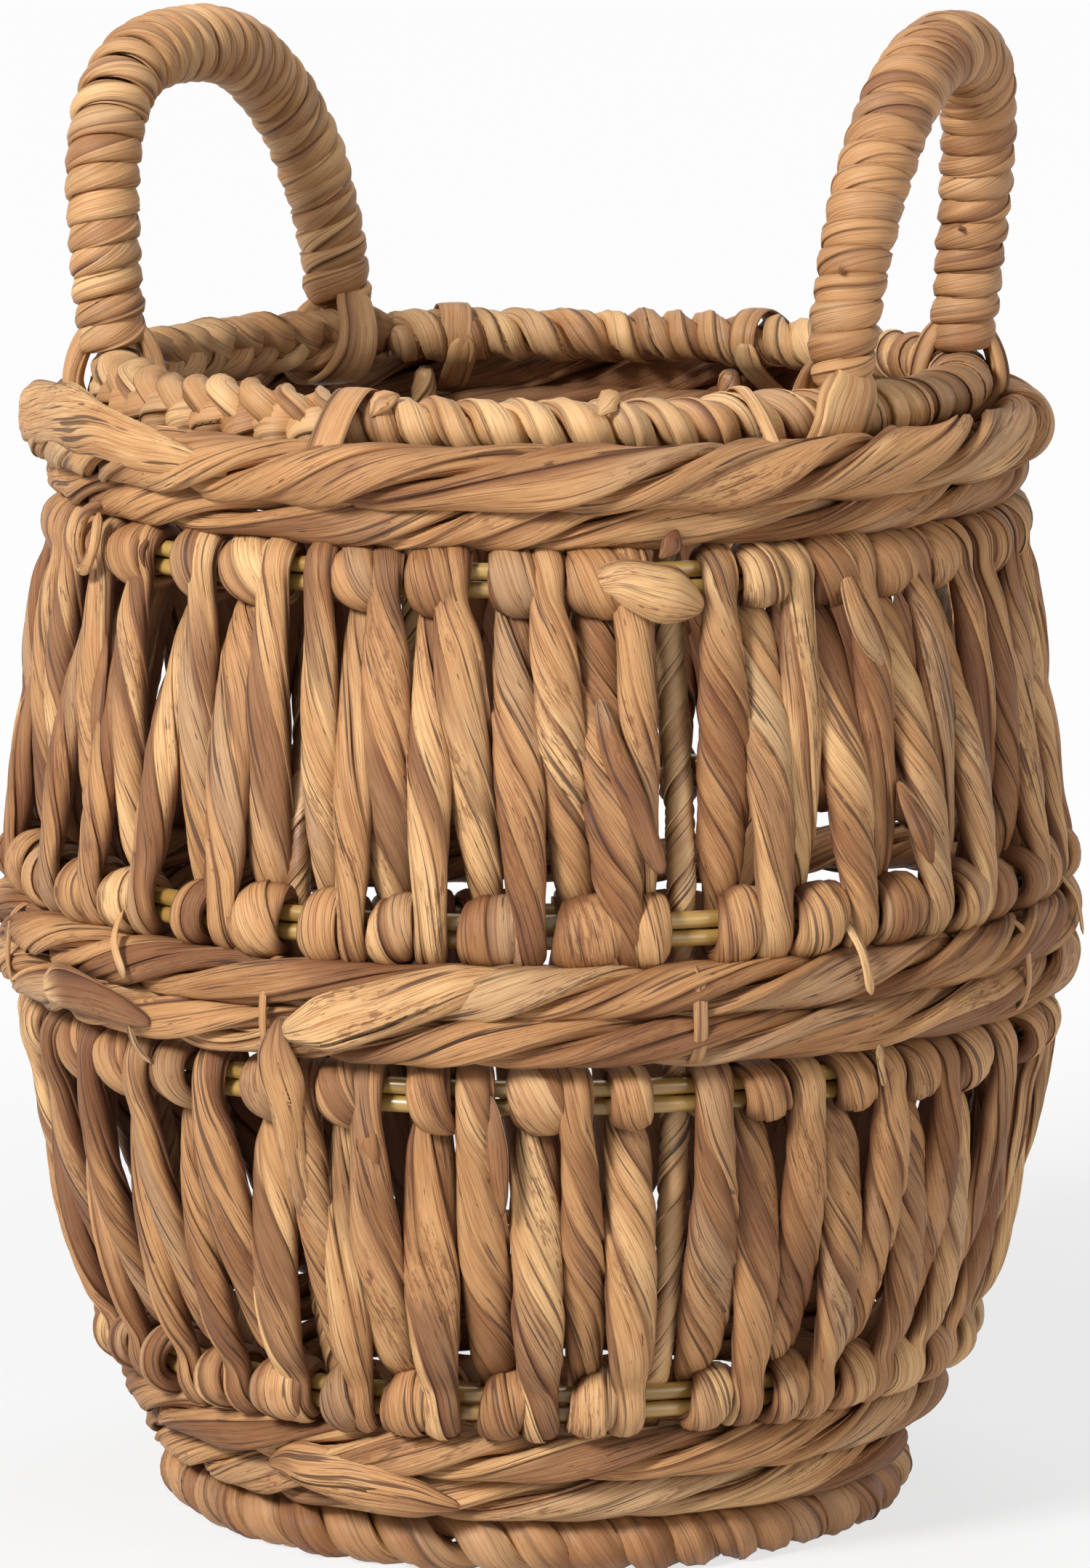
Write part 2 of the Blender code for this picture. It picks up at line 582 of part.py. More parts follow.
def build_handle(side_name, azimuth, half_angle, rise, skew):
    out = outward(azimuth)
    half_span = RIM_RADIUS * math.sin(half_angle)
    pivot = out * (RIM_RADIUS * math.cos(half_angle)) + Vector((0.0, 0.0, RIM_HEIGHT))
    along = Vector((out.y, -out.x, 0.0))
    vertical = Vector((0.0, 0.0, 1.0))
    upward = vertical * math.cos(HANDLE_LEAN) + out * math.sin(HANDLE_LEAN)
    normal = out * math.cos(HANDLE_LEAN) - vertical * math.sin(HANDLE_LEAN)
    hinge = bpy.data.objects.new(side_name + "_handle_hinge", None)
    hinge.location = pivot
    bpy.context.scene.collection.objects.link(hinge)
    leg_foot = strap_inner_flat(half_angle) + STRAP_THICKNESS + SEAT_GAP

    def placed(points):
        return [pivot + along * point.x + upward * point.z for point in points]

    core_route = arch_points(half_span, leg_foot, rise, skew, CORE_STEPS + 1)
    bore_radius = HANDLE_CORE_RADIUS + TOUCH_GAP
    wrap_bm = bmesh.new()
    bore_path = placed(core_route)
    bore_sizes = [bore_radius] * len(bore_path)
    bore = add_tube(wrap_bm, bore_path, [normal] * len(bore_path), bore_sizes, bore_sizes, 8)
    outer_path = placed(arch_points(half_span, leg_foot, rise, skew, 2 * HANDLE_TURNS + 1))
    valley = bore_radius + HANDLE_WRAP_WALL
    sizes = [valley + HANDLE_RIDGE * (step % 2) for step in range(len(outer_path))]
    shell = add_tube(wrap_bm, outer_path, [normal] * len(outer_path), sizes, sizes, 8)
    for inner, outer in ((bore[0], shell[0]), (bore[-1], shell[-1])):
        for step in range(8):
            after = (step + 1) % 8
            wrap_bm.faces.new((inner[step], inner[after], outer[after], outer[step]))
    add_object(side_name + "_handle_wrap", wrap_bm, LEAF_CREAM, hinge)

    # the core stops above the straps' ends, which are bound in under it
    core_start = leg_foot + STRAP_NECK_LENGTH + CORE_END_GAP
    kept = [point for point in core_route if point.z > core_start + HANDLE_CORE_RADIUS / 2.0]
    cuts = [cut_at(core_route, core_route.index(kept[0]) - 1, core_start),
            cut_at(core_route, core_route.index(kept[-1]), core_start)]
    core_path = placed([cuts[0]] + kept + [cuts[1]])
    core_sizes = [HANDLE_CORE_RADIUS] * len(core_path)
    tube_object(side_name + "_handle_core", core_path, [normal] * len(core_path), core_sizes,
                core_sizes, 8, CANE_OLIVE, parent=hinge)
    for end_name, end in (("first", 1.0), ("second", -1.0)):
        build_strap(f"{side_name}_handle_{end_name}_strap", pivot + along * (half_span * end),
                    half_angle, leg_foot, along, upward, normal, hinge)
    print(f"{side_name} handle: pivot {tuple(round(c, 5) for c in pivot)}, "
          f"axis {tuple(round(c, 5) for c in along)}")


def build_handles():
    build_handle("left", LEFT_HANDLE_AZIMUTH, LEFT_HANDLE_HALF_ANGLE, LEFT_HANDLE_RISE,
                 LEFT_HANDLE_SKEW)
    build_handle("right", RIGHT_HANDLE_AZIMUTH, RIGHT_HANDLE_HALF_ANGLE, RIGHT_HANDLE_RISE,
                 RIGHT_HANDLE_SKEW)


# Ties: closed leaf bands round the rim and the collar rope, and round the waist rope's turns

def hull_outline(discs, steps):
    # the outline round a set of discs, each a centre radius, a height and a size
    outline = []
    for step in range(steps):
        turn = 2.0 * math.pi * step / steps
        direction = (math.cos(turn), math.sin(turn))
        best = max(discs, key=lambda disc: disc[0] * direction[0] + disc[1] * direction[1] + disc[2])
        outline.append((best[0] + best[2] * direction[0], best[1] + best[2] * direction[1]))
    return outline


def build_tie(name, azimuth, discs, width, finish):
    grow = TOUCH_GAP + TIE_THICKNESS / 2.0
    steps = 16
    stretch = 1.0 / math.cos(math.pi / steps)
    grown = [(radius, height, (size + grow) * stretch) for radius, height, size in discs]
    outline = hull_outline(grown, steps)
    path = [around(radius, azimuth, height) for radius, height in outline]
    along = Vector((math.cos(azimuth), math.sin(azimuth), 0.0))
    half_widths = [width / math.sqrt(2.0)] * len(path)
    half_depths = [TIE_THICKNESS / math.sqrt(2.0)] * len(path)
    tube_object(name, path, [along] * len(path), half_widths, half_depths, 4, finish, True,
                math.pi / 4.0)


def build_ties():
    for index, azimuth in enumerate(COLLAR_TIE_AZIMUTHS):
        discs = [(RIM_RADIUS, RIM_HEIGHT, RIM_THICK_RADIUS),
                 (facet_centre(COLLAR_TOP_RADIUS, ROPE_FACETS, azimuth), COLLAR_TOP_HEIGHT,
                  COLLAR_ROPE_RADIUS)]
        build_tie(f"collar_tie_{index + 1}", azimuth, discs, COLLAR_TIE_WIDTH, LEAF_TAN)
    for index in range(RIB_COUNT):
        azimuth = FIRST_RIB_AZIMUTH + 2.0 * math.pi * index / RIB_COUNT
        centre = facet_centre(WAIST_ROPE_CENTRE, ROPE_FACETS, azimuth)
        discs = [(centre, WAIST_ROPE_TOP_HEIGHT, WAIST_ROPE_RADIUS),
                 (centre, WAIST_ROPE_LOW_HEIGHT, WAIST_ROPE_RADIUS)]
        build_tie(f"waist_tie_{index + 1}", azimuth, discs, WAIST_TIE_WIDTH, LEAF_TAN)


clear_scene()
build_hoops()
build_plaits()
build_ropes()
build_panels()
build_ribs()
build_base()
build_handles()
build_ties()
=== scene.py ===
import json
import math

import bmesh
import bpy
import numpy as np
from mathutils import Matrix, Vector


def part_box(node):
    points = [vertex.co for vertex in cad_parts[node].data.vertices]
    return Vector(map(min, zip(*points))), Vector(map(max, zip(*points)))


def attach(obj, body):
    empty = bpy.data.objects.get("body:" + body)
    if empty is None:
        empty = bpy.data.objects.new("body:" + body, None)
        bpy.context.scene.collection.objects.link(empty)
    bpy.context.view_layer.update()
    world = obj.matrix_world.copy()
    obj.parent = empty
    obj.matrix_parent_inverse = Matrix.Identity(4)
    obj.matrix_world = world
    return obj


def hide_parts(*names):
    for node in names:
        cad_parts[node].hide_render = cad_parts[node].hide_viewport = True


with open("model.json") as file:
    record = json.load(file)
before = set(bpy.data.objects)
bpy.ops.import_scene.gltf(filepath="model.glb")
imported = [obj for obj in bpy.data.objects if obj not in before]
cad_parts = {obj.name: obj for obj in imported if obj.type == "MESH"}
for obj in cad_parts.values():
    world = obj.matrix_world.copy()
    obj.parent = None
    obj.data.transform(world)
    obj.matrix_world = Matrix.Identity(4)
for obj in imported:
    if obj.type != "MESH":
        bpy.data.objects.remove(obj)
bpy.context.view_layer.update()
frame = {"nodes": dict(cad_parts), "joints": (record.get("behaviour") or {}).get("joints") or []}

mm = 0.001
fullTurn = 2.0 * math.pi
degree = math.pi / 180.0
print("belly basket: frame loaded")


# places on the round basket: azimuth 0 faces the front and grows towards +X

def aroundAxis(radius, azimuth, height):
    radius, azimuth, height = np.broadcast_arrays(radius, azimuth, height)
    return np.stack([radius * np.sin(azimuth), -radius * np.cos(azimuth), height], axis=-1)


def outwardAt(azimuth):
    return aroundAxis(1.0, azimuth, 0.0)


def sidewaysAt(azimuth):
    azimuth = np.asarray(azimuth)
    return np.stack([np.cos(azimuth), np.sin(azimuth), 0.0 * azimuth], axis=-1)


def unit(vectors):
    return vectors / np.linalg.norm(vectors, axis=-1, keepdims=True)


def ease(share):
    share = np.clip(share, 0.0, 1.0)
    return share * share * (3.0 - 2.0 * share)


def drift(count, knots, rng, low=-1.0, high=1.0):
    # a smooth random value along a strand
    values = rng.uniform(low, high, knots + 1)
    at = np.linspace(0.0, knots - 1e-6, count)
    left = at.astype(int)
    blend = ease(at - left)
    return values[left] * (1.0 - blend) + values[left + 1] * blend


def lengthsOf(places):
    steps = np.linalg.norm(np.diff(places, axis=0), axis=1)
    return np.concatenate(([0.0], np.cumsum(steps)))


def flow(stops, places, step):
    # a smooth curve through rows of stops, with a row every step of its length
    stops = np.asarray(stops, float)
    marks = lengthsOf(np.asarray(places))
    slopes = np.gradient(stops, marks, axis=0)
    at = np.linspace(0.0, marks[-1], max(3, int(marks[-1] / step)))
    left = np.clip(np.searchsorted(marks, at, side="right") - 1, 0, len(marks) - 2)
    span = (marks[left + 1] - marks[left])[:, None]
    t = (at - marks[left])[:, None] / span
    return (stops[left] * (1 + 2 * t) * (1 - t) ** 2 + stops[left + 1] * t * t * (3 - 2 * t)
            + slopes[left] * span * t * (1 - t) ** 2 - slopes[left + 1] * span * t * t * (1 - t))


def flowAround(stops, step):
    # stops are rows of radius, azimuth, height and any sizes that change with them
    stops = np.asarray(stops, float)
    return flow(stops, aroundAxis(stops[:, 0], stops[:, 1], stops[:, 2]), step)


# strands: a folded leaf twisted along its route, as a grid bent round and closed

def newLeaf():
    bm = bmesh.new()
    bm.verts.layers.float_vector.new("lay")
    bm.verts.layers.float_vector.new("tone")
    return bm


# what a strand takes where its own look says nothing else: twist is in turns a metre, edge is painted shade on the
# sides
plainLeaf = {"lobes": 3, "points": 6, "fold": 0.25, "wrinkle": 0.03, "twist": 0.0, "twistSpan": 0.0,
             "wobble": 0.3, "swell": 0.08, "wander": 24 * mm, "toneWander": 60 * mm, "shade": 0.0,
             "shadeSpan": 0.4, "endTaper": 5 * mm, "endShare": 0.5, "lap": 1.04,
             "edge": 0.0}


def addStrand(bm, places, side, width, depth, look, rng):
    rows = len(places)
    lengths = lengthsOf(places)
    tangent = unit(np.gradient(places, axis=0))
    side = np.broadcast_to(side, places.shape)
    side = unit(side - tangent * np.sum(side * tangent, axis=1, keepdims=True))
    through = np.cross(tangent, side)
    width = np.broadcast_to(width, rows).astype(float)
    depth = np.broadcast_to(depth, rows).astype(float)

    knots = max(3, int(lengths[-1] / look["wander"]))
    toneKnots = max(2, int(lengths[-1] / look["toneWander"]))
    width = width * (1.0 + look["swell"] * drift(rows, knots, rng))
    depth = depth * (1.0 + look["swell"] * drift(rows, knots, rng))
    fromEnd = np.minimum(lengths, lengths[-1] - lengths) / look["endTaper"]
    taper = look["endShare"] + (1.0 - look["endShare"]) * np.sqrt(np.clip(fromEnd, 0.0, 1.0))
    turning = look["twist"] * (1.0 + look["twistSpan"] * drift(rows, knots, rng))
    twist = fullTurn * np.cumsum(turning * np.gradient(lengths)) + look["wobble"] * drift(rows, knots, rng)

    # each lobe is a fold of the leaf: it rises from under its neighbour and laps over the next
    lobes = look["lobes"]
    spans = rng.uniform(0.6, 1.4, lobes)
    spans = spans * fullTurn / spans.sum()
    starts = np.concatenate(([0.0], np.cumsum(spans)[:-1])) + rng.uniform(0.0, fullTurn)
    share = look["lap"] * (0.5 - 0.5 * np.cos(math.pi * np.arange(look["points"]) / (look["points"] - 1)))
    arch = 1.0 - np.clip(1.0 - share, 0.0, 1.0) ** 2.6
    strandShade = look["shade"] + look["shadeSpan"] * 0.7 * drift(rows, toneKnots, rng)
    angles, reach, shade, stain, paintedShade = [], [], [], [], []
    for lobe in range(lobes):
        fold = look["fold"] * drift(rows, knots, rng, 0.08, 1.0)
        lobeShade = strandShade + look["shadeSpan"] * 0.5 * drift(rows, toneKnots, rng)
        lobeStain = drift(rows, toneKnots, rng, 0.0, 1.0)
        for t, rise in zip(share, arch):
            angles.append(starts[lobe] + spans[lobe] * t)
            reach.append(1.0 - fold * (1.0 - rise) + look["wrinkle"] * drift(rows, knots, rng))
            shade.append(lobeShade)
            stain.append(lobeStain)
            # painted shade, deepest where a lobe rises from under its neighbour, and as deep as the fold
            paintedShade.append((1.0 - rise) * fold / look["fold"])
    columns = len(angles) + 1
    closing = list(range(columns - 1)) + [0]
    angles = np.array(angles)[closing]
    reach, shade, stain, paintedShade = (np.array(rowList).T[:, closing]
                                   for rowList in (reach, shade, stain, paintedShade))
    turned = angles[None, :] + twist[:, None]
    across = np.cos(turned) * reach * (width * taper)[:, None]
    outOf = np.sin(turned) * reach * (depth * taper)[:, None]
    section = across[..., None] * side[:, None, :] + outOf[..., None] * through[:, None, :]
    grid = places[:, None, :] + section
    if look["edge"]:
        # painted shade: the sides and the back of a strand are darkened against the face that looks out of the basket
        facing = np.sum(unit(section) * unit(places * (1.0, 1.0, 0.0))[:, None, :], axis=-1)
        paintedShade = np.maximum(paintedShade, look["edge"] * ease((0.55 - facing) / 0.65))

    girth = float(width.mean() + depth.mean()) / 2.0 / mm
    along = np.broadcast_to((lengths / mm + rng.uniform(0.0, 4000.0))[:, None], turned.shape)
    lay = np.stack([np.broadcast_to(girth * np.cos(angles), turned.shape),
                    np.broadcast_to(girth * np.sin(angles), turned.shape), along], axis=-1)
    # each vertex keeps a random lightness, a stain amount and the painted shade of its folds and sides
    tone = np.stack([shade, stain, paintedShade], axis=-1)
    fitGrid(bm, grid, lay, tone)


def fitGrid(bm, grid, lay, tone):
    rows, columns = grid.shape[:2]
    verts = bmesh.ops.create_grid(bm, x_segments=columns - 1, y_segments=rows - 1, size=1.0)["verts"]
    layKey = bm.verts.layers.float_vector["lay"]
    toneKey = bm.verts.layers.float_vector["tone"]
    flatGrid, flatLay, flatTone = (data.reshape(-1, 3).tolist() for data in (grid, lay, tone))
    for vert, place, layValue, toneValue in zip(verts, flatGrid, flatLay, flatTone):
        vert.co = place
        vert[layKey] = layValue
        vert[toneKey] = toneValue
    ends = verts[:columns - 1] + verts[-columns:-1]
    seam = verts[::columns] + verts[columns - 1::columns]
    bmesh.ops.remove_doubles(bm, verts=seam, dist=mm / 1000.0)
    rims = {edge for vert in ends if vert.is_valid for edge in vert.link_edges if edge.is_boundary}
    bmesh.ops.holes_fill(bm, edges=list(rims), sides=0)


def finishPiece(name, bm, material, body, nodes):
    mesh = bpy.data.meshes.new(name)
    bm.to_mesh(mesh)
    bm.free()
    mesh.shade_smooth()
    mesh.materials.append(material)
    piece = bpy.data.objects.new(name, mesh)
    bpy.context.scene.collection.objects.link(piece)
    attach(piece, body)
    if nodes:
        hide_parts(*nodes)
    return piece


# leaf and cane finishes; colours are linear

leafColours = {
    "cream": (0.770, 0.478, 0.222),
    "tan": (0.555, 0.292, 0.122),
    "brown": (0.305, 0.134, 0.049),
    "russet": (0.180, 0.067, 0.027),
    "grey": (0.400, 0.275, 0.165),
    "dark": (0.056, 0.023, 0.014),
}


def addPlaced(bm, leaves, look, rng):
    # leaves laid one by one: a shade, then degrees, height, radius, half width and half thickness in mm
    for shade, *stops in leaves:
        rows = np.array([(radius * mm, azimuth * degree, height * mm, wide * mm, thick * mm)
                         for azimuth, height, radius, wide, thick in stops])
        rows = flowAround(rows, 1.2 * mm)
        places = aroundAxis(rows[:, 0], rows[:, 1], rows[:, 2])
        side = np.cross(unit(np.gradient(places, axis=0)), outwardAt(rows[:, 1]))
        own = {**look, "shade": shade, "endTaper": 1.5 * rows[:, 3].max()}
        addStrand(bm, places, side, rows[:, 3], rows[:, 4], own, rng)


def newMaterial(name):
    material = bpy.data.materials.new(name)
    material.use_nodes = True
    shader = material.node_tree.nodes["Principled BSDF"]
    return material, material.node_tree, shader


def addNode(tree, kind, settings=None, **inputs):
    node = tree.nodes.new(kind)
    for key, value in (settings or {}).items():
        setattr(node, key, value)
    for key, value in inputs.items():
        socket = node.inputs[int(key[1:])] if key[0] == "i" and key[1:].isdigit() else node.inputs[key]
        if isinstance(value, bpy.types.NodeSocket):
            tree.links.new(value, socket)
        else:
            socket.default_value = value
    return node


def stretched(tree, source, scale, detail, roughness=0.5, shift=0.0):
    # noise drawn out along the fibres: scale is per mm round the strand and along it
    mapping = addNode(tree, "ShaderNodeMapping", i0=source, i1=(shift, shift, shift),
                      i3=(scale[0], scale[0], scale[1]))
    noise = addNode(tree, "ShaderNodeTexNoise", i0=mapping.outputs[0], Scale=1.0, Detail=detail,
                    Roughness=roughness)
    return noise.outputs[0]


def between(tree, value, low, high, outLow=0.0, outHigh=1.0):
    node = addNode(tree, "ShaderNodeMapRange", {"interpolation_type": "SMOOTHSTEP"}, i0=value,
                   i1=low, i2=high, i3=outLow, i4=outHigh)
    return node.outputs[0]


def sums(tree, operation, first, second):
    return addNode(tree, "ShaderNodeMath", {"operation": operation}, i0=first, i1=second).outputs[0]


def mixed(tree, factor, first, second, blend="MIX"):
    node = addNode(tree, "ShaderNodeMix", {"data_type": "RGBA", "blend_type": blend}, i0=factor, i6=first,
                   i7=second)
    return node.outputs[2]


def rgba(name):
    return (*leafColours[name], 1.0)


def makeLeaf(name, look):
    material, tree, shader = newMaterial(name)
    lay = addNode(tree, "ShaderNodeAttribute", {"attribute_name": "lay"}).outputs[1]
    # the second attribute holds the leaf's own lightness and stain, and then the painted shade
    toneAndShadeSplit = addNode(tree, "ShaderNodeSeparateXYZ",
                        i0=addNode(tree, "ShaderNodeAttribute", {"attribute_name": "tone"}).outputs[1])
    shade, stain, paintedShade = toneAndShadeSplit.outputs[:3]

    fibre = stretched(tree, lay, (3.6, 0.045), 3.0, 0.6)
    grain = stretched(tree, lay, (6.0, 0.12), 2.0, 0.5, 3.0)
    coarse = stretched(tree, lay, (1.1, 0.03), 2.0, 0.5, 7.0)
    patch = stretched(tree, lay, (0.15, 0.022), 3.0, 0.55, 19.0)
    speck = stretched(tree, lay, (1.5, 0.17), 2.0, 0.5, 31.0)
    mottle = stretched(tree, lay, (1.7, 0.24), 3.0, 0.65, 43.0)
    mottled = stretched(tree, lay, (0.12, 0.03), 1.0, 0.5, 57.0)

    lightness = sums(tree, "ADD", shade, between(tree, patch, 0.3, 0.7, -0.42, 0.38))
    lightness = sums(tree, "ADD", lightness, between(tree, fibre, 0.32, 0.68, 0.12, -0.12))
    tanned = mixed(tree, between(tree, lightness, 0.0, 1.0), rgba("tan"), rgba("cream"))
    base = mixed(tree, between(tree, lightness, -1.0, 0.0), rgba("brown"), tanned)
    greyed = sums(tree, "MULTIPLY", between(tree, stain, 0.66, 0.95), look["grey"])
    base = mixed(tree, greyed, base, rgba("grey"))
    reddened = sums(tree, "MULTIPLY", between(tree, sums(tree, "SUBTRACT", patch, stain), 0.08, 0.42),
                    look["russet"])
    base = mixed(tree, reddened, base, rgba("russet"))
    lines = sums(tree, "MULTIPLY", between(tree, fibre, 0.53, 0.62), look["line"])
    base = mixed(tree, lines, base, (0.66, 0.52, 0.42, 1.0), "MULTIPLY")
    hairs = sums(tree, "MULTIPLY", between(tree, grain, 0.5, 0.66), look["line"] * 0.8)
    base = mixed(tree, hairs, base, (0.66, 0.54, 0.46, 1.0), "MULTIPLY")
    stained = sums(tree, "MULTIPLY", between(tree, mottle, 0.5, 0.6), between(tree, mottled, 0.56, 0.64))
    base = mixed(tree, sums(tree, "MULTIPLY", stained, look["mottle"]), base, rgba("russet"))
    streak = sums(tree, "MULTIPLY", between(tree, coarse, 0.60, 0.66), look["streak"])
    base = mixed(tree, streak, base, rgba("dark"))
    dots = sums(tree, "MULTIPLY", between(tree, speck, 0.68, 0.73), look["speck"])
    base = mixed(tree, dots, base, rgba("dark"))
    # painted shade: folds, and where edge is set the sides and back of a strand, darken to russet and then to dark
    paintedShadeMask = between(tree, paintedShade, 0.15, 0.8, 0.0, look["paintedShadeAmount"])
    base = mixed(tree, paintedShadeMask, base, rgba("russet"))
    base = mixed(tree, between(tree, paintedShade, 0.6, 0.95, 0.0, look["paintedShadeAmount"]), base, rgba("dark"))
    tree.links.new(base, shader.inputs["Base Color"])

    height = sums(tree, "ADD", sums(tree, "MULTIPLY", fibre, -0.7), sums(tree, "MULTIPLY", coarse, -0.7))
    height = sums(tree, "ADD", height, sums(tree, "MULTIPLY", grain, -0.3))
    bump = addNode(tree, "ShaderNodeBump", Strength=look["bump"], Distance=0.6 * mm, Height=height)
    tree.links.new(bump.outputs[0], shader.inputs["Normal"])
    rough = between(tree, fibre, 0.3, 0.7, look["rough"] - 0.06, look["rough"] + 0.08)
    tree.links.new(rough, shader.inputs["Roughness"])
    shader.inputs["Specular IOR Level"].default_value = look["specular"]
    return material


def makeCane(name, look):
    material, tree, shader = newMaterial(name)
    lay = addNode(tree, "ShaderNodeAttribute", {"attribute_name": "lay"}).outputs[1]
    fibre = stretched(tree, lay, (1.5, 0.02), 3.0)
    patch = stretched(tree, lay, (0.12, 0.03), 2.0, 0.5, 11.0)
    base = mixed(tree, between(tree, patch, 0.35, 0.65), (*look["dark"], 1.0), (*look["light"], 1.0))
    base = mixed(tree, between(tree, fibre, 0.56, 0.72, 0.0, 0.6), base, (*look["line"], 1.0))
    tree.links.new(base, shader.inputs["Base Color"])
    bump = addNode(tree, "ShaderNodeBump", Strength=0.25, Distance=0.3 * mm, Height=fibre)
    tree.links.new(bump.outputs[0], shader.inputs["Normal"])
    tree.links.new(between(tree, patch, 0.3, 0.7, look["rough"] - 0.05, look["rough"] + 0.08),
                   shader.inputs["Roughness"])
    shader.inputs["Coat Weight"].default_value = look["coat"]
    shader.inputs["Coat Roughness"].default_value = 0.2
    return material


# the leaf's own markings, then the strength of the painted shade in folds and on the sides, then bump, roughness and
# specular
strandLook = {"grey": 0.5, "russet": 0.8, "streak": 0.8, "line": 0.8, "speck": 0.75, "mottle": 0.7,
              "paintedShadeAmount": 0.95, "bump": 0.8, "rough": 0.58, "specular": 0.35}
smoothLook = {**strandLook, "grey": 0.35, "russet": 0.3, "streak": 0.35, "line": 0.55, "speck": 0.3,
              "mottle": 0.25, "bump": 0.6, "rough": 0.50, "specular": 0.4}
panelLeaf = makeLeaf("panelLeaf", strandLook)
ropeLeaf = makeLeaf("ropeLeaf", {**strandLook, "rough": 0.62, "specular": 0.3})
plaitLeaf = makeLeaf("plaitLeaf", {**smoothLook, "streak": 0.45, "speck": 0.4, "line": 0.4})
handleLeaf = makeLeaf("handleLeaf", {**smoothLook, "speck": 0.15, "mottle": 0.15})
tieLeaf = makeLeaf("tieLeaf", smoothLook)
matLeaf = makeLeaf("matLeaf", {**strandLook, "grey": 0.6, "rough": 0.65, "specular": 0.3})
ribLeaf = makeLeaf("ribLeaf", {**smoothLook, "grey": 0.1, "russet": 0.9, "streak": 0.9, "bump": 0.4,
                               "rough": 0.30, "specular": 0.5})
hoopCane = makeCane("hoopCane", {"light": (0.50, 0.31, 0.085), "dark": (0.33, 0.18, 0.040),
                                 "line": (0.30, 0.18, 0.05), "rough": 0.28, "coat": 0.35})
print("belly basket: finishes made")


# hoops and ribs as the frame gives them

def hoopFrom(name):
    lowCorner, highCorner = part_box(name + "_lower_cane")
    caneRadius = (highCorner.z - lowCorner.z) / 2.0 / math.cos(math.pi / 6.0)
    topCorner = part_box(name + "_upper_cane")[1]
    return {"radius": highCorner.x - caneRadius, "height": (lowCorner.z + topCorner.z) / 2.0,
            "cane": caneRadius}


hoops = {name: hoopFrom(name) for name in ("shoulder_hoop", "waist_top_hoop", "waist_low_hoop", "bottom_hoop")}
ribCount = sum(name.startswith("rib_") for name in frame["nodes"])


def ribAzimuth(index):
    lowCorner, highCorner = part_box(f"rib_{index % ribCount + 1}")
    middle = (lowCorner + highCorner) / 2.0
    return math.atan2(middle.x, -middle.y) + fullTurn * (index // ribCount)


ribAzimuths = [ribAzimuth(0)]
for ribIndex in range(1, ribCount + 1):
    azimuth = ribAzimuth(ribIndex)
    while azimuth < ribAzimuths[-1]:
        azimuth += fullTurn
    ribAzimuths.append(azimuth)


# hoop canes: two stacked canes a hoop, each a full ring whose ends meet

caneLook = {**plainLeaf, "lobes": 1, "points": 12, "fold": 0.01, "wrinkle": 0.0, "wobble": 0.0, "swell": 0.03,
            "wander": 60 * mm, "shadeSpan": 0.1, "endTaper": 1.0 * mm, "endShare": 0.8, "lap": 0.92,
            "step": 3.5 * mm, "wave": 0.25 * mm}


def buildCanes():
    for hoopIndex, (name, hoop) in enumerate(hoops.items()):
        for caneIndex, cane in enumerate(("lower", "upper")):
            rng = np.random.default_rng(100 + 2 * hoopIndex + caneIndex)
            lowCorner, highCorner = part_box(f"{name}_{cane}_cane")
            start = rng.uniform(0.0, fullTurn)
            azimuth = np.linspace(start, start + fullTurn, int(fullTurn * hoop["radius"] / caneLook["step"]))
            wave = caneLook["wave"] * drift(len(azimuth), 14, rng)
            places = aroundAxis(hoop["radius"] + wave, azimuth, (lowCorner.z + highCorner.z) / 2.0)
            bm = newLeaf()
            addStrand(bm, places, outwardAt(azimuth), hoop["cane"], hoop["cane"], caneLook, rng)
            label = "".join(word.capitalize() for word in name.split("_"))
            finishPiece(f"{cane}Cane{label}", bm, hoopCane, "basket", [f"{name}_{cane}_cane"])


buildCanes()
print("belly basket: hoop canes")


# panels: in each bay one leaf strand runs up and down between two hoops and knots round each

# edge gives the panel strands painted shade on their sides and backs
panelLook = {**plainLeaf, "lobes": 4, "fold": 0.30, "wrinkle": 0.035, "twist": -11.0, "twistSpan": 0.75,
             "wobble": 0.0, "swell": 0.09, "wander": 28 * mm, "toneWander": 75 * mm, "shade": 0.0, "shadeSpan": 1.2,
             "edge": 0.68}
winding = {"margin": 2.9 * degree, "step": 1.35 * mm, "halfWidth": 6.4 * mm, "halfThick": 4.3 * mm,
           "neckWidth": 4.3 * mm, "knotWidth": 6.2 * mm, "loopThick": 3.0 * mm, "rise": 6.1 * mm,
           "back": 4.9 * mm, "front": 5.3 * mm, "knot": 6.5 * mm, "shiftSpan": 0.9 * degree,
           "leanSpan": 1.3 * degree, "sizeSpan": 0.16, "depthSpan": 1.2 * mm}
looseLook = {**plainLeaf, "lobes": 1, "points": 14, "fold": 0.12, "wrinkle": 0.05, "twist": -3.0,
             "wander": 14 * mm, "shadeSpan": 0.4, "endShare": 0.3}
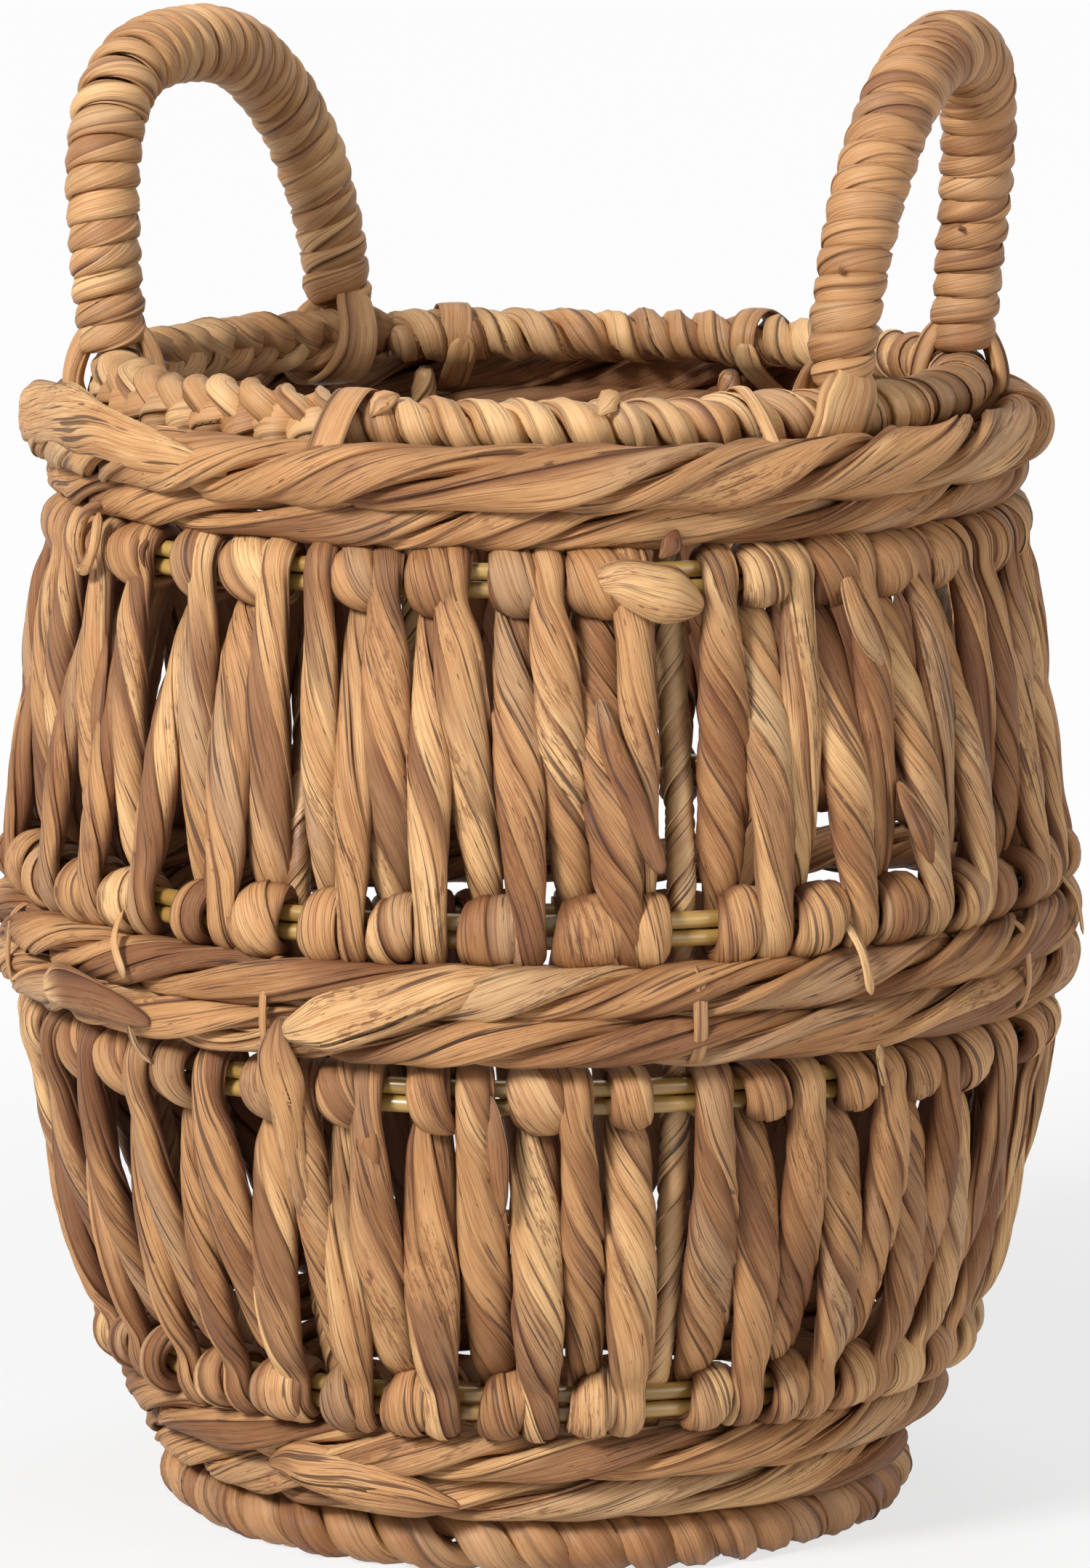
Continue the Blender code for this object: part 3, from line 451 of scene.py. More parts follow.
panelLeaves = {
    "upperPanelBay8": [
        (-0.7, (15.6, 274.0, 129.0, 2.0, 0.7), (14.6, 270.5, 131.5, 3.4, 1.0), (13.4, 267.5, 131.0, 1.2, 0.6)),
        (-0.6, (6.6, 233.0, 133.0, 2.0, 0.5), (8.0, 220.0, 136.4, 3.2, 0.6), (9.4, 211.0, 138.4, 3.4, 0.6),
         (11.2, 199.0, 140.2, 3.0, 0.6), (12.6, 190.0, 142.2, 2.4, 0.5)),
        (-0.9, (-9.0, 250.0, 129.5, 1.5, 0.6), (-8.4, 236.0, 131.5, 3.0, 1.0), (-8.0, 222.0, 133.0, 1.2, 0.6)),
        (0.8, (5.5, 262.0, 129.0, 3.5, 1.8), (8.5, 262.6, 131.5, 6.0, 2.4), (12.5, 259.5, 132.5, 7.4, 2.8),
         (16.0, 256.5, 131.5, 6.6, 2.4), (18.6, 254.0, 128.5, 4.4, 1.8))],
    "upperPanelBay7": [
        (-1.0, (-35.0, 197.0, 133.0, 1.6, 0.6), (-35.8, 187.0, 137.0, 4.2, 1.0), (-36.8, 176.0, 138.5, 1.2, 0.6)),
        (-0.8, (-58.0, 240.0, 130.0, 1.6, 0.6), (-57.0, 222.0, 134.0, 3.4, 0.9), (-56.4, 205.0, 135.5, 1.2, 0.6))],
    "upperPanelBay6": [
        (0.2, (-59.6, 274.0, 127.0, 1.6, 1.5), (-62.6, 270.0, 130.5, 1.8, 1.6), (-62.9, 262.0, 132.5, 1.8, 1.6),
         (-60.4, 256.5, 133.5, 1.8, 1.6), (-58.6, 262.0, 133.0, 1.7, 1.5), (-59.4, 271.0, 130.0, 1.6, 1.5))],
    "upperPanelBay1": [
        (0.1, (36.4, 262.0, 129.0, 2.0, 0.8), (37.6, 250.0, 132.0, 3.6, 1.0), (40.6, 236.0, 133.5, 2.4, 0.8)),
        (-0.5, (42.0, 207.0, 136.0, 2.0, 0.7), (44.0, 196.0, 139.0, 3.6, 1.0), (45.4, 186.0, 140.5, 3.0, 0.7))],
    "lowerPanelBay8": [
        (0.5, (-26.8, 151.5, 143.0, 3.0, 1.4), (-26.9, 146.0, 144.6, 4.6, 1.8), (-27.2, 137.0, 141.0, 6.4, 2.6),
         (-27.3, 127.0, 137.6, 4.6, 3.2), (-27.1, 112.0, 133.6, 3.8, 2.8), (-26.6, 96.0, 129.0, 3.4, 2.4)),
        (-0.9, (-19.0, 131.0, 134.0, 1.6, 0.6), (-18.4, 121.0, 136.5, 3.2, 0.9), (-18.0, 108.0, 134.0, 1.4, 0.6)),
        (-0.9, (-5.0, 133.0, 135.5, 1.4, 0.6), (-4.2, 118.0, 136.5, 2.8, 0.9), (-3.8, 102.0, 134.0, 1.2, 0.6))],
    "lowerPanelBay7": [
        (-1.0, (-40.0, 127.0, 133.0, 1.4, 0.6), (-39.0, 112.0, 134.5, 3.8, 1.0), (-38.4, 96.0, 131.0, 1.2, 0.6))],
}
# the bays that face the front have their runs listed: degrees from the bay's first rib
# at the two hoops, and sizes
panels = {
    "upper": {"top": "shoulder_hoop", "low": "waist_top_hoop", "runs": 9, "bulge": 4.0 * mm, "seed": 200, "knots": (1.14, 1.0),
              "placed": {8: {"top": (3.0, 7.0, 11.0, 16.0, 18.8, 25.4, 29.6, 34.8, 39.0),
                             "low": (5.0, 8.9, 12.6, 17.4, 23.2, 27.6, 33.1, 37.4, 40.2),
                             "size": (0.85, 0.78, 1.12, 0.95, 1.0, 0.95, 1.08, 1.25, 0.8)},
                         1: {"top": (4.6, 9.8, 14.4, 18.6, 23.5, 28.0, 33.0, 37.5, 42.0),
                             "low": (4.3, 9.0, 13.0, 19.6, 24.4, 30.6, 35.0, 39.0, 42.3),
                             "size": (1.08, 1.02, 0.95, 1.1, 0.95, 1.1, 1.0, 0.9, 0.95)}}},
    "lower": {"top": "waist_low_hoop", "low": "bottom_hoop", "runs": 8, "bulge": 6.3 * mm, "seed": 300, "knots": (1.05, 1.0),
              "placed": {8: {"top": (2.5, 5.9, 9.9, 16.3, 21.8, 28.0, 32.6, 38.4),
                             "low": (2.3, 5.2, 10.2, 16.0, 23.0, 28.8, 35.0, 40.2),
                             "size": (0.8, 0.85, 1.05, 1.1, 1.08, 1.12, 0.95, 1.08)},
                         1: {"top": (2.8, 7.9, 13.9, 19.3, 25.2, 29.6, 34.5, 39.8),
                             "low": (5.2, 11.4, 17.0, 22.8, 28.4, 34.4, 38.6, 42.2),
                             "size": (1.12, 1.1, 1.08, 1.0, 1.0, 1.05, 1.0, 0.95)}}},
}


def loopStops(hoop, away, fromAzimuth, toAzimuth, size, turn):
    # one and a half turns round a hoop: behind, round to the front as a knot, behind, and out in front
    w = {**winding, "knot": winding["knot"] * turn[0], "rise": winding["rise"] * turn[1],
         "knotWidth": winding["knotWidth"] * turn[2]}
    ring = [(-w["back"], -4.0 * mm), (-w["back"], 1.0 * mm), (-2.2 * mm, w["rise"]), (2.2 * mm, w["rise"]),
            (w["knot"], 2.6 * mm), (w["knot"], -2.2 * mm), (2.4 * mm, -w["rise"]), (-2.2 * mm, -w["rise"]),
            (-w["back"], -1.6 * mm), (-w["back"], 1.8 * mm), (-2.2 * mm, w["rise"]), (2.2 * mm, w["rise"]),
            (w["front"], 2.2 * mm), (w["front"] + 0.4 * mm, -4.5 * mm)]
    shares = np.array([0.0, 0.02, 0.05, 0.08, 0.13, 0.2, 0.34, 0.5, 0.66, 0.8, 0.9, 0.97, 1.0, 1.0]) ** turn[3]
    knotted = [0.0, 0.2, 0.6, 0.8, 1.0, 1.0, 0.8, 0.5, 0.2, 0.0, 0.0, 0.2, 0.2, 0.1]
    return [(hoop["radius"] + out, fromAzimuth + (toAzimuth - fromAzimuth) * share,
             hoop["height"] + away * rise,
             (w["neckWidth"] + (w["knotWidth"] - w["neckWidth"]) * knot) * size, w["loopThick"])
            for (out, rise), share, knot in zip(ring, shares, knotted)]


def runStops(panel, top, low, run, goingDown):
    # the free stretch between two hoops
    w = winding
    stops = []
    for share in (0.16, 0.33, 0.5, 0.67, 0.84):
        radius = top["radius"] + (low["radius"] - top["radius"]) * share
        offset = w["front"] if goingDown else -w["back"]
        other = -w["back"] if goingDown else w["front"]
        layer = offset + (other - offset) * ease(share)
        bow = panel["bulge"] * (1.0 - (2.0 * share - 1.0) ** 2)
        fat = math.sin(math.pi * share ** run["belly"])
        stops.append((radius + layer * 0.75 + bow + run["lift"],
                      run["top"] + (run["low"] - run["top"]) * share,
                      top["height"] + (low["height"] - top["height"]) * share,
                      (w["neckWidth"] + (w["halfWidth"] - w["neckWidth"]) * fat) * run["size"],
                      w["loopThick"] + (w["halfThick"] - w["loopThick"]) * fat))
    return stops if goingDown else stops[::-1]


def bayRuns(panel, bay, rng):
    w, count = winding, panel["runs"]
    nominal = np.linspace(ribAzimuths[bay] + w["margin"], ribAzimuths[bay + 1] - w["margin"], count)
    lean = rng.uniform(-1.0, 1.0, count) * w["leanSpan"]
    shift = rng.uniform(-1.0, 1.0, count) * w["shiftSpan"]
    runs = {"top": nominal + shift - lean, "low": nominal + shift + lean,
            "size": 1.0 + w["sizeSpan"] * rng.uniform(-1.0, 1.0, count),
            "lift": w["depthSpan"] * rng.uniform(-1.0, 1.0, count), "belly": rng.uniform(0.75, 1.35, count)}
    placed = panel["placed"].get(bay + 1)
    if placed:
        runs["top"] = ribAzimuths[bay] + np.array(placed["top"]) * degree
        runs["low"] = ribAzimuths[bay] + np.array(placed["low"]) * degree
        runs["size"] = np.array(placed["size"])
    return [{key: float(values[index]) for key, values in runs.items()} for index in range(count)]


def buildBay(name, node, panel, bay, seed):
    rng = np.random.default_rng(seed)
    top, low = hoops[panel["top"]], hoops[panel["low"]]
    runs = bayRuns(panel, bay, rng)
    turns = [(rng.uniform(0.85, 1.15), rng.uniform(0.88, 1.12), rng.uniform(0.82, 1.25), rng.uniform(0.6, 1.6))
             for run in range(panel["runs"] + 1)]
    stops = loopStops(top, 1.0, runs[0]["top"], runs[0]["top"], runs[0]["size"], turns[-1])[-7:]
    for index, run in enumerate(runs):
        goingDown = index % 2 == 0
        stops += runStops(panel, top, low, run, goingDown)
        hoop, away, end = (low, -1.0, "low") if goingDown else (top, 1.0, "top")
        out, rise, wide, share = turns[index]
        turned = (out, rise, wide * panel["knots"][goingDown], share)
        if index == len(runs) - 1:
            stops += loopStops(hoop, away, run[end], run[end] + 2.0 * degree, run["size"], turned)[:10]
        else:
            after = runs[index + 1]
            stops += loopStops(hoop, away, run[end], after[end], (run["size"] + after["size"]) / 2.0, turned)
    rows = flowAround(stops, winding["step"])
    places = aroundAxis(rows[:, 0], rows[:, 1], rows[:, 2])
    bm = newLeaf()
    addStrand(bm, places, sidewaysAt(rows[:, 1]), rows[:, 3], rows[:, 4], panelLook, rng)
    addPlaced(bm, panelLeaves.get(name, []), looseLook, rng)
    finishPiece(name, bm, panelLeaf, "basket", [node])


def buildPanels():
    for level, panel in panels.items():
        for bay in range(ribCount):
            buildBay(f"{level}PanelBay{bay + 1}", f"{level}_panel_bay_{bay + 1}", panel, bay,
                     panel["seed"] + bay)


buildPanels()
print("belly basket: panels")


# routes: level rings, ropes of two turns, and plies or plaited strands laid round a route

def evenRows(points, step):
    marks = lengthsOf(points)
    at = np.linspace(0.0, marks[-1], max(3, int(marks[-1] / step)))
    return np.stack([np.interp(at, marks, points[:, axis]) for axis in range(3)], axis=-1)


def ringRows(radius, fromAzimuth, toAzimuth, step):
    return np.linspace(fromAzimuth, toAzimuth, int(abs(toAzimuth - fromAzimuth) * radius / step))


def laidRound(places, first, second, phase, orbit):
    # rows turned round a route, with the direction that a wide section follows
    radial = np.cos(phase)[:, None] * first + np.sin(phase)[:, None] * second
    around = np.cos(phase)[:, None] * second - np.sin(phase)[:, None] * first
    return places + radial * np.broadcast_to(orbit, len(places))[:, None], around


def addPlies(bm, places, first, second, phase, rope, look, rng, size=1.0, bead=1.0):
    for ply in range(rope["plies"]):
        route, around = laidRound(places, first, second, phase + fullTurn * ply / rope["plies"],
                                  rope["orbit"] * size)
        addStrand(bm, route, around, rope["halfWidth"] * size * bead, rope["halfThick"] * size * bead, look, rng)


def addPlait(bm, places, lateral, through, plait, look, rng):
    # three strands crossing over and under each other
    lengths = lengthsOf(places)
    for strand in range(3):
        phase = fullTurn * (lengths / plait["pitch"] + strand / 3.0)
        route = (places + lateral * (plait["sway"] * np.sin(phase))[:, None]
                 + through * (plait["dive"] * np.sin(2.0 * phase))[:, None])
        roll = plait["roll"] * (np.sin(math.pi / 2.0 * np.clip(np.cos(phase) / 0.75, -1.0, 1.0)) - 1.0)
        side = lateral * np.cos(roll)[:, None] + through * np.sin(roll)[:, None]
        addStrand(bm, route, side, plait["plaitWidth"], plait["plaitThick"], look, rng)


upward = np.array([0.0, 0.0, 1.0])


# ropes: two plies each; the upper turn climbs down to the lower one

# edge gives the rope plies painted shade on their sides and backs
ropeLook = {**plainLeaf, "lobes": 4, "fold": 0.30, "wrinkle": 0.035, "twist": 3.0, "twistSpan": 0.6,
            "wobble": 0.5, "swell": 0.10, "wander": 40 * mm, "toneWander": 90 * mm, "shade": 0.05, "shadeSpan": 0.7,
            "endTaper": 14 * mm, "endShare": 0.35, "edge": 0.5}
ropeLeaves = {
    "collarRope": [
        (0.7, (-97.0, 283.0, 130.5, 3.0, 1.4), (-86.0, 288.5, 134.0, 6.0, 1.8), (-75.0, 293.5, 135.2, 8.0, 2.2),
         (-64.0, 295.6, 135.4, 8.6, 2.2), (-53.0, 293.0, 135.4, 7.4, 2.0), (-43.0, 289.0, 134.0, 5.0, 1.6),
         (-36.0, 286.0, 132.0, 2.6, 1.0))],
    "waistRope": [
        (0.6, (-26.0, 148.4, 145.0, 6.0, 1.3), (-21.5, 151.5, 145.6, 7.0, 2.0), (-15.5, 156.0, 145.2, 6.8, 2.4),
         (-9.0, 161.5, 143.4, 5.8, 2.2), (-3.5, 165.0, 140.0, 3.2, 1.4)),
        (0.9, (-62.0, 148.0, 144.0, 5.0, 1.0), (-57.0, 150.5, 145.4, 6.6, 1.4), (-50.0, 149.0, 145.2, 5.2, 1.4),
         (-43.0, 146.0, 144.0, 3.2, 1.0)),
        (0.9, (-48.6, 173.0, 140.5, 1.5, 0.4), (-47.6, 166.5, 145.4, 1.4, 0.45), (-45.6, 157.0, 146.4, 1.4, 0.45)),
        (0.9, (-45.6, 144.5, 145.2, 1.4, 0.4), (-45.4, 139.0, 143.0, 1.4, 0.4), (-45.2, 134.0, 138.5, 1.4, 0.4)),
        (0.9, (33.4, 174.5, 140.5, 1.5, 0.4), (34.0, 167.5, 145.4, 1.4, 0.45), (35.0, 156.0, 146.4, 1.4, 0.45)),
        (0.9, (36.4, 142.5, 145.0, 1.4, 0.4), (37.6, 137.0, 142.0, 1.4, 0.4), (39.8, 130.0, 137.5, 1.4, 0.4)),
        (0.9, (76.0, 172.0, 140.5, 1.5, 0.4), (76.4, 166.0, 144.5, 1.5, 0.4), (76.8, 156.0, 146.4, 1.4, 0.45))],
    "baseRope": [
        (-0.1, (-40.0, 26.0, 107.6, 3.0, 1.2), (-35.0, 28.5, 109.6, 5.4, 1.6), (-27.0, 26.0, 109.2, 6.4, 2.0),
         (-18.0, 22.0, 107.2, 5.4, 1.8), (-11.0, 19.5, 105.0, 3.0, 1.4))],
}
# top and low are the centre radius and height of the two turns, and sizes are their thicknesses
ropes = {
    "collarRope": {"node": "collar_rope", "start": -105.0, "climb": 50.0, "top": (127.5, 287.2),
                   "low": (122.0, 275.8), "sizes": (1.14, 0.96), "pitch": 92 * mm, "plies": 2,
                   "orbit": 3.4 * mm, "halfWidth": 6.9 * mm, "halfThick": 3.4 * mm, "seed": 41},
    "waistRope": {"node": "waist_rope", "start": 170.0, "climb": 45.0, "top": (137.2, 159.4),
                  "low": (137.2, 147.2), "sizes": (1.0, 0.96), "pitch": 92 * mm, "plies": 2,
                  "orbit": 3.3 * mm, "halfWidth": 6.3 * mm, "halfThick": 3.4 * mm, "seed": 42},
    "baseRope": {"node": "base_rope", "start": 118.0, "climb": 45.0, "top": (104.0, 33.2),
                 "low": (98.0, 21.4), "sizes": (1.0, 0.96), "pitch": 92 * mm, "plies": 2,
                 "orbit": 3.3 * mm, "halfWidth": 6.2 * mm, "halfThick": 3.4 * mm, "seed": 43},
}
ropeStep = 1.5 * mm
ropeSlack = 0.7  # how far the lay of a rope runs ahead or behind, in radians


def buildRope(name, rope):
    rng = np.random.default_rng(rope["seed"])
    start, climb = rope["start"] * degree, rope["climb"] * degree
    azimuth = ringRows(rope["top"][0] * mm, start, start + 2.0 * fullTurn - climb - degree, ropeStep)
    share = ease((azimuth - start - fullTurn + degree + climb) / climb)
    radius, height = (mm * (top + (low - top) * share) for top, low in zip(rope["top"], rope["low"]))
    size = rope["sizes"][0] + (rope["sizes"][1] - rope["sizes"][0]) * share
    places = aroundAxis(radius, azimuth, height)
    lengths = lengthsOf(places)
    phase = (fullTurn * lengths / rope["pitch"] + rng.uniform(0.0, fullTurn)
             + ropeSlack * drift(len(lengths), int(lengths[-1] / (60 * mm)), rng))
    bm = newLeaf()
    addPlies(bm, places, outwardAt(azimuth), upward, phase, rope, ropeLook, rng, size)
    addPlaced(bm, ropeLeaves[name], looseLook, rng)
    finishPiece(name, bm, ropeLeaf, "basket", [rope["node"]])


for ropeName, rope in ropes.items():
    buildRope(ropeName, rope)
print("belly basket: ropes")


# rim: a two-ply rope of short turns, plaited in three from the front left round to the back

rimLook = {**plainLeaf, "lobes": 2, "fold": 0.15, "wrinkle": 0.03, "wobble": 0.5, "swell": 0.18, "wander": 16 * mm,
           "toneWander": 30 * mm, "shade": 0.34, "shadeSpan": 0.9, "endTaper": 8 * mm, "endShare": 0.4}
rim = {"node": "rim_plait", "thick": 8.0 * mm, "pitch": 21.5 * mm, "plies": 2, "orbit": 4.1 * mm,
       "halfWidth": 4.8 * mm, "halfThick": 4.0 * mm, "step": 0.9 * mm, "slack": 1.0,
       "bead": 0.18, "plaitFrom": -158.0 * degree, "plaitTo": -26.0 * degree, "tilt": 20.0 * degree, "seed": 51,
       "plait": {"pitch": 33 * mm, "sway": 4.4 * mm, "dive": 2.7 * mm, "roll": 0.9, "plaitWidth": 5.6 * mm,
                 "plaitThick": 3.3 * mm}}
rimLeaves = [
    (0.9, (7.4, 302.0, 119.0, 1.8, 0.6), (8.8, 305.4, 117.6, 3.2, 0.8), (10.4, 306.6, 115.0, 1.6, 0.6)),
    (0.2, (-20.5, 301.0, 119.0, 1.6, 0.6), (-19.0, 304.8, 117.4, 2.8, 0.8), (-17.4, 306.0, 115.0, 1.4, 0.6))]
footLook = {**rimLook, "fold": 0.17, "shade": -0.45, "shadeSpan": 1.0, "wander": 20 * mm, "swell": 0.2}
foot = {"node": "foot_plait", "thick": 8.1 * mm, "pitch": 27.0 * mm, "plies": 2, "orbit": 4.3 * mm,
        "halfWidth": 5.8 * mm, "halfThick": 4.5 * mm, "step": 0.9 * mm, "slack": 1.2, "bead": 0.15, "seed": 52}


def ringFrom(node, thick):
    lowCorner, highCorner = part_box(node)
    return highCorner.x - thick, (lowCorner.z + highCorner.z) / 2.0


rimRadius, rimHeight = ringFrom(rim["node"], rim["thick"])
footRadius, footHeight = ringFrom(foot["node"], foot["thick"])


def addBeads(bm, azimuth, radius, height, ring, look, rng):
    # a short-laid rope whose plies swell where they show
    places = aroundAxis(radius, azimuth, height)
    lengths = lengthsOf(places)
    phase = (-fullTurn * lengths / ring["pitch"]
             + ring["slack"] * drift(len(lengths), int(lengths[-1] / (30 * mm)), rng))
    bead = 1.0 + ring["bead"] * np.cos(2.0 * phase)
    addPlies(bm, places, outwardAt(azimuth), upward, phase, ring, look, rng, bead=bead)


def buildRim():
    rng = np.random.default_rng(rim["seed"])
    bm = newLeaf()
    azimuth = ringRows(rimRadius, rim["plaitTo"], rim["plaitFrom"] + fullTurn, rim["step"])
    addBeads(bm, azimuth, rimRadius, rimHeight, rim, rimLook, rng)
    azimuth = ringRows(rimRadius, rim["plaitFrom"], rim["plaitTo"], rim["step"])
    out = outwardAt(azimuth)
    lateral = upward * math.cos(rim["tilt"]) - out * math.sin(rim["tilt"])
    through = -out * math.cos(rim["tilt"]) - upward * math.sin(rim["tilt"])
    addPlait(bm, aroundAxis(rimRadius, azimuth, rimHeight), lateral, through, rim["plait"], rimLook, rng)
    addPlaced(bm, rimLeaves, looseLook, rng)
    finishPiece("rimPlait", bm, plaitLeaf, "basket", [rim["node"]])


def buildFoot():
    rng = np.random.default_rng(foot["seed"])
    bm = newLeaf()
    azimuth = ringRows(footRadius, -math.pi, math.pi + 4.0 * degree, foot["step"])
    addBeads(bm, azimuth, footRadius, footHeight, foot, footLook, rng)
    finishPiece("footPlait", bm, plaitLeaf, "basket", [foot["node"]])


buildRim()
buildFoot()
print("belly basket: rim and foot")


# ribs: canes inside the hoops, each wound with a glossy strip of leaf

# deep folds give the rib strip strong painted crease shade, which also stands for its own dark stripes
ribLook = {**plainLeaf, "lobes": 2, "points": 8, "fold": 0.26, "wrinkle": 0.015, "twist": 33.0, "twistSpan": 0.25,
           "wobble": 0.1, "swell": 0.05, "wander": 30 * mm, "shade": 0.6, "shadeSpan": 0.9, "endShare": 0.5}
rib = {"halfWidth": 3.7 * mm, "step": 0.9 * mm, "seed": 60, "inset": 6.1 * mm, "ropeInset": 9.4 * mm,
       "aboveRope": 3.0 * mm, "underHoop": 4.6 * mm, "endGap": 0.6 * mm}


def ribProfile():
    # radius and height, from the foot plait up inside the ropes and hoops to under the rim
    base, waist, collar = (ropes[name] for name in ("baseRope", "waistRope", "collarRope"))
    shoulder, waistTop, waistLow, bottom = (hoops[name] for name in hoops)
    inset, ropeInset, above = rib["inset"], rib["ropeInset"], rib["aboveRope"]
    waistHeight = (waist["top"][1] + waist["low"][1]) / 2.0 * mm
    return [(base["low"][0] * mm - ropeInset, 2.0 * footHeight + rib["endGap"]),
            (base["low"][0] * mm - ropeInset, base["low"][1] * mm + above),
            (base["top"][0] * mm - ropeInset, base["top"][1] * mm + above),
            (bottom["radius"] - inset, bottom["height"]), (waistLow["radius"] - inset, waistLow["height"]),
            (waist["top"][0] * mm - ropeInset - above, waistHeight),
            (waistTop["radius"] - inset, waistTop["height"]),
            (shoulder["radius"] - inset, shoulder["height"] - rib["underHoop"]),
            (collar["low"][0] * mm - ropeInset, collar["low"][1] * mm),
            (rimRadius - above / 2.0, rimHeight - rim["thick"] - rib["endGap"])]


def windBand(bm, places, normal, winding, look, rng, size=1.0):
    # a flat band wound round a route, each turn lapping the one before
    tangent = unit(np.gradient(places, axis=0))
    normal = unit(normal - tangent * np.sum(normal * tangent, axis=1, keepdims=True))
    lengths = lengthsOf(places)
    phase = (fullTurn * lengths / winding["pitch"] + rng.uniform(0.0, fullTurn)
             + winding.get("slack", 0.0) * drift(len(lengths), max(3, int(lengths[-1] / (25 * mm))), rng))
    route, around = laidRound(places, normal, np.cross(tangent, normal), phase, winding["orbit"] * size)
    outOf = unit(route - places)
    addStrand(bm, route, tangent + outOf * winding["tuck"], winding["halfWidth"], winding["halfThick"], look, rng)


def buildRibs():
    profile = np.array(ribProfile())
    for index in range(ribCount):
        rng = np.random.default_rng(rib["seed"] + index)
        azimuth = ribAzimuths[index]
        stops = aroundAxis(profile[:, 0], azimuth, profile[:, 1])
        places = flow(stops, stops, rib["step"])
        bm = newLeaf()
        addStrand(bm, places, sidewaysAt(azimuth), rib["halfWidth"], rib["halfWidth"], ribLook, rng)
        finishPiece(f"rib{index + 1}", bm, ribLeaf, "basket", [f"rib_{index + 1}"])


buildRibs()
print("belly basket: ribs")


# base: flat strands woven over and under each other, with a cane across each face

matLook = {**plainLeaf, "lobes": 2, "points": 7, "fold": 0.2, "wander": 40 * mm, "shade": -0.2,
           "endTaper": 3 * mm, "endShare": 0.6}
mat = {"spacing": 12.0 * mm, "halfWidth": 5.7 * mm, "halfThick": 1.1 * mm, "wave": 1.1 * mm, "inset": 0.8 * mm,
       "step": 2.4 * mm, "seed": 70}


def buildMat():
    lowCorner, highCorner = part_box("base_mat")
    radius, height = highCorner.x - mat["inset"], (lowCorner.z + highCorner.z) / 2.0
    rng = np.random.default_rng(mat["seed"])
    bm = newLeaf()
    count = int(2.0 * radius / mat["spacing"])
    offsets = (np.arange(count) - (count - 1) / 2.0) * mat["spacing"]
    for along in (0, 1):
        for index, offset in enumerate(offsets):
            reach = math.sqrt(radius ** 2 - offset ** 2)
            at = np.linspace(-reach, reach, int(2.0 * reach / mat["step"]))
            lift = mat["wave"] * np.cos(math.pi * (at / mat["spacing"] + (count - 1) / 2.0 + index + along))
            flat = [at, np.full_like(at, offset)]
            places = np.stack([flat[along], flat[1 - along], height + lift], axis=-1)
            side = np.array([float(along == 1), float(along == 0), 0.0])
            addStrand(bm, places, side, mat["halfWidth"], mat["halfThick"], matLook, rng)
    finishPiece("baseMat", bm, matLeaf, "basket", ["base_mat"])


def buildSticks():
    for index, node in enumerate(("base_stick_under", "base_stick_over")):
        lowCorner, highCorner = (np.array(corner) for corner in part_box(node))
        middle, size = (lowCorner + highCorner) / 2.0, highCorner - lowCorner
        along = np.argmax(size)
        ends = np.stack([middle, middle])
        ends[:, along] = lowCorner[along], highCorner[along]
        bm = newLeaf()
        addStrand(bm, evenRows(ends, 4 * mm), upward, size[2] / 2.0, size[2] / 2.0, caneLook,
                  np.random.default_rng(80 + index))
        finishPiece(("underStick", "overStick")[index], bm, hoopCane, "basket", [node])


buildMat()
buildSticks()
print("belly basket: base")


# handles: a bent core, a leaf band wound round it, and two straps looped under the rim

handleLook = {**plainLeaf, "lobes": 3, "points": 6, "fold": 0.24, "wrinkle": 0.04, "twist": -14.0,
              "twistSpan": 0.6, "wobble": 0.3, "swell": 0.10, "wander": 20 * mm, "toneWander": 45 * mm,
              "shade": 0.4, "shadeSpan": 0.6, "endTaper": 8 * mm, "endShare": 0.4}
coreLook = {**caneLook, "points": 16, "wander": 40 * mm, "shade": 0.5}
strapLook = {**plainLeaf, "lobes": 3, "fold": 0.3, "wrinkle": 0.05, "wander": 14 * mm, "shade": 0.3, "shadeSpan": 0.5}
# powers shape the two halves of an arch; sizes are those of its winding at the feet and the top
handles = {"left": {"halfAngle": 30.0 * degree, "rise": 84.8 * mm, "foot": 9.9 * mm, "skew": -6.0 * mm,
                    "powers": (2.2, 3.0), "sizes": (0.90, 1.02), "seed": 90, "shade": 0.3,
                    "straps": ((1.1, 1.6, 6.0), (0.8, 3.0, 0.0)),
                    "tufts": ((0.14, -1.0, 0.2), (0.21, -1.0, 0.4), (0.27, -1.0, 0.0))},
           "right": {"halfAngle": 25.6 * degree, "rise": 88.2 * mm, "foot": 9.7 * mm, "skew": -15.0 * mm,
                     "powers": (2.5, 2.5), "sizes": (0.85, 1.02), "seed": 95, "shade": -0.3,
                     "straps": ((1.2, 1.5, -12.0), (1.1, 2.6, 3.0)),
                     "tufts": ((0.12, -1.0, 0.3), (0.82, -1.0, 0.2), (0.86, 1.0, 0.2))}}
grip = {"lean": 5.0 * degree, "coreRadius": 5.6 * mm, "coreFrom": 5.0 * mm, "step": 0.18 * mm,
        "pitch": 6.6 * mm, "orbit": 7.9 * mm, "halfWidth": 4.4 * mm, "halfThick": 2.1 * mm, "tuck": 0.30,
        "slack": 0.5}
# a strap's width, half thickness in mm, and how far its loop slants aside in mm
strap = {"step": 1.2 * mm, "neck": 4.6 * mm, "neckUp": 5.0 * mm, "loop": 10.9 * mm, "shoulder": 8.6 * mm,
         "widths": (4.4, 6.4, 7.8, 8.0, 7.4, 6.6, 5.8, 5.2, 4.4)}
tuft = {"length": 4.5 * mm, "halfWidth": 1.6 * mm, "halfThick": 0.7 * mm, "rows": 7}


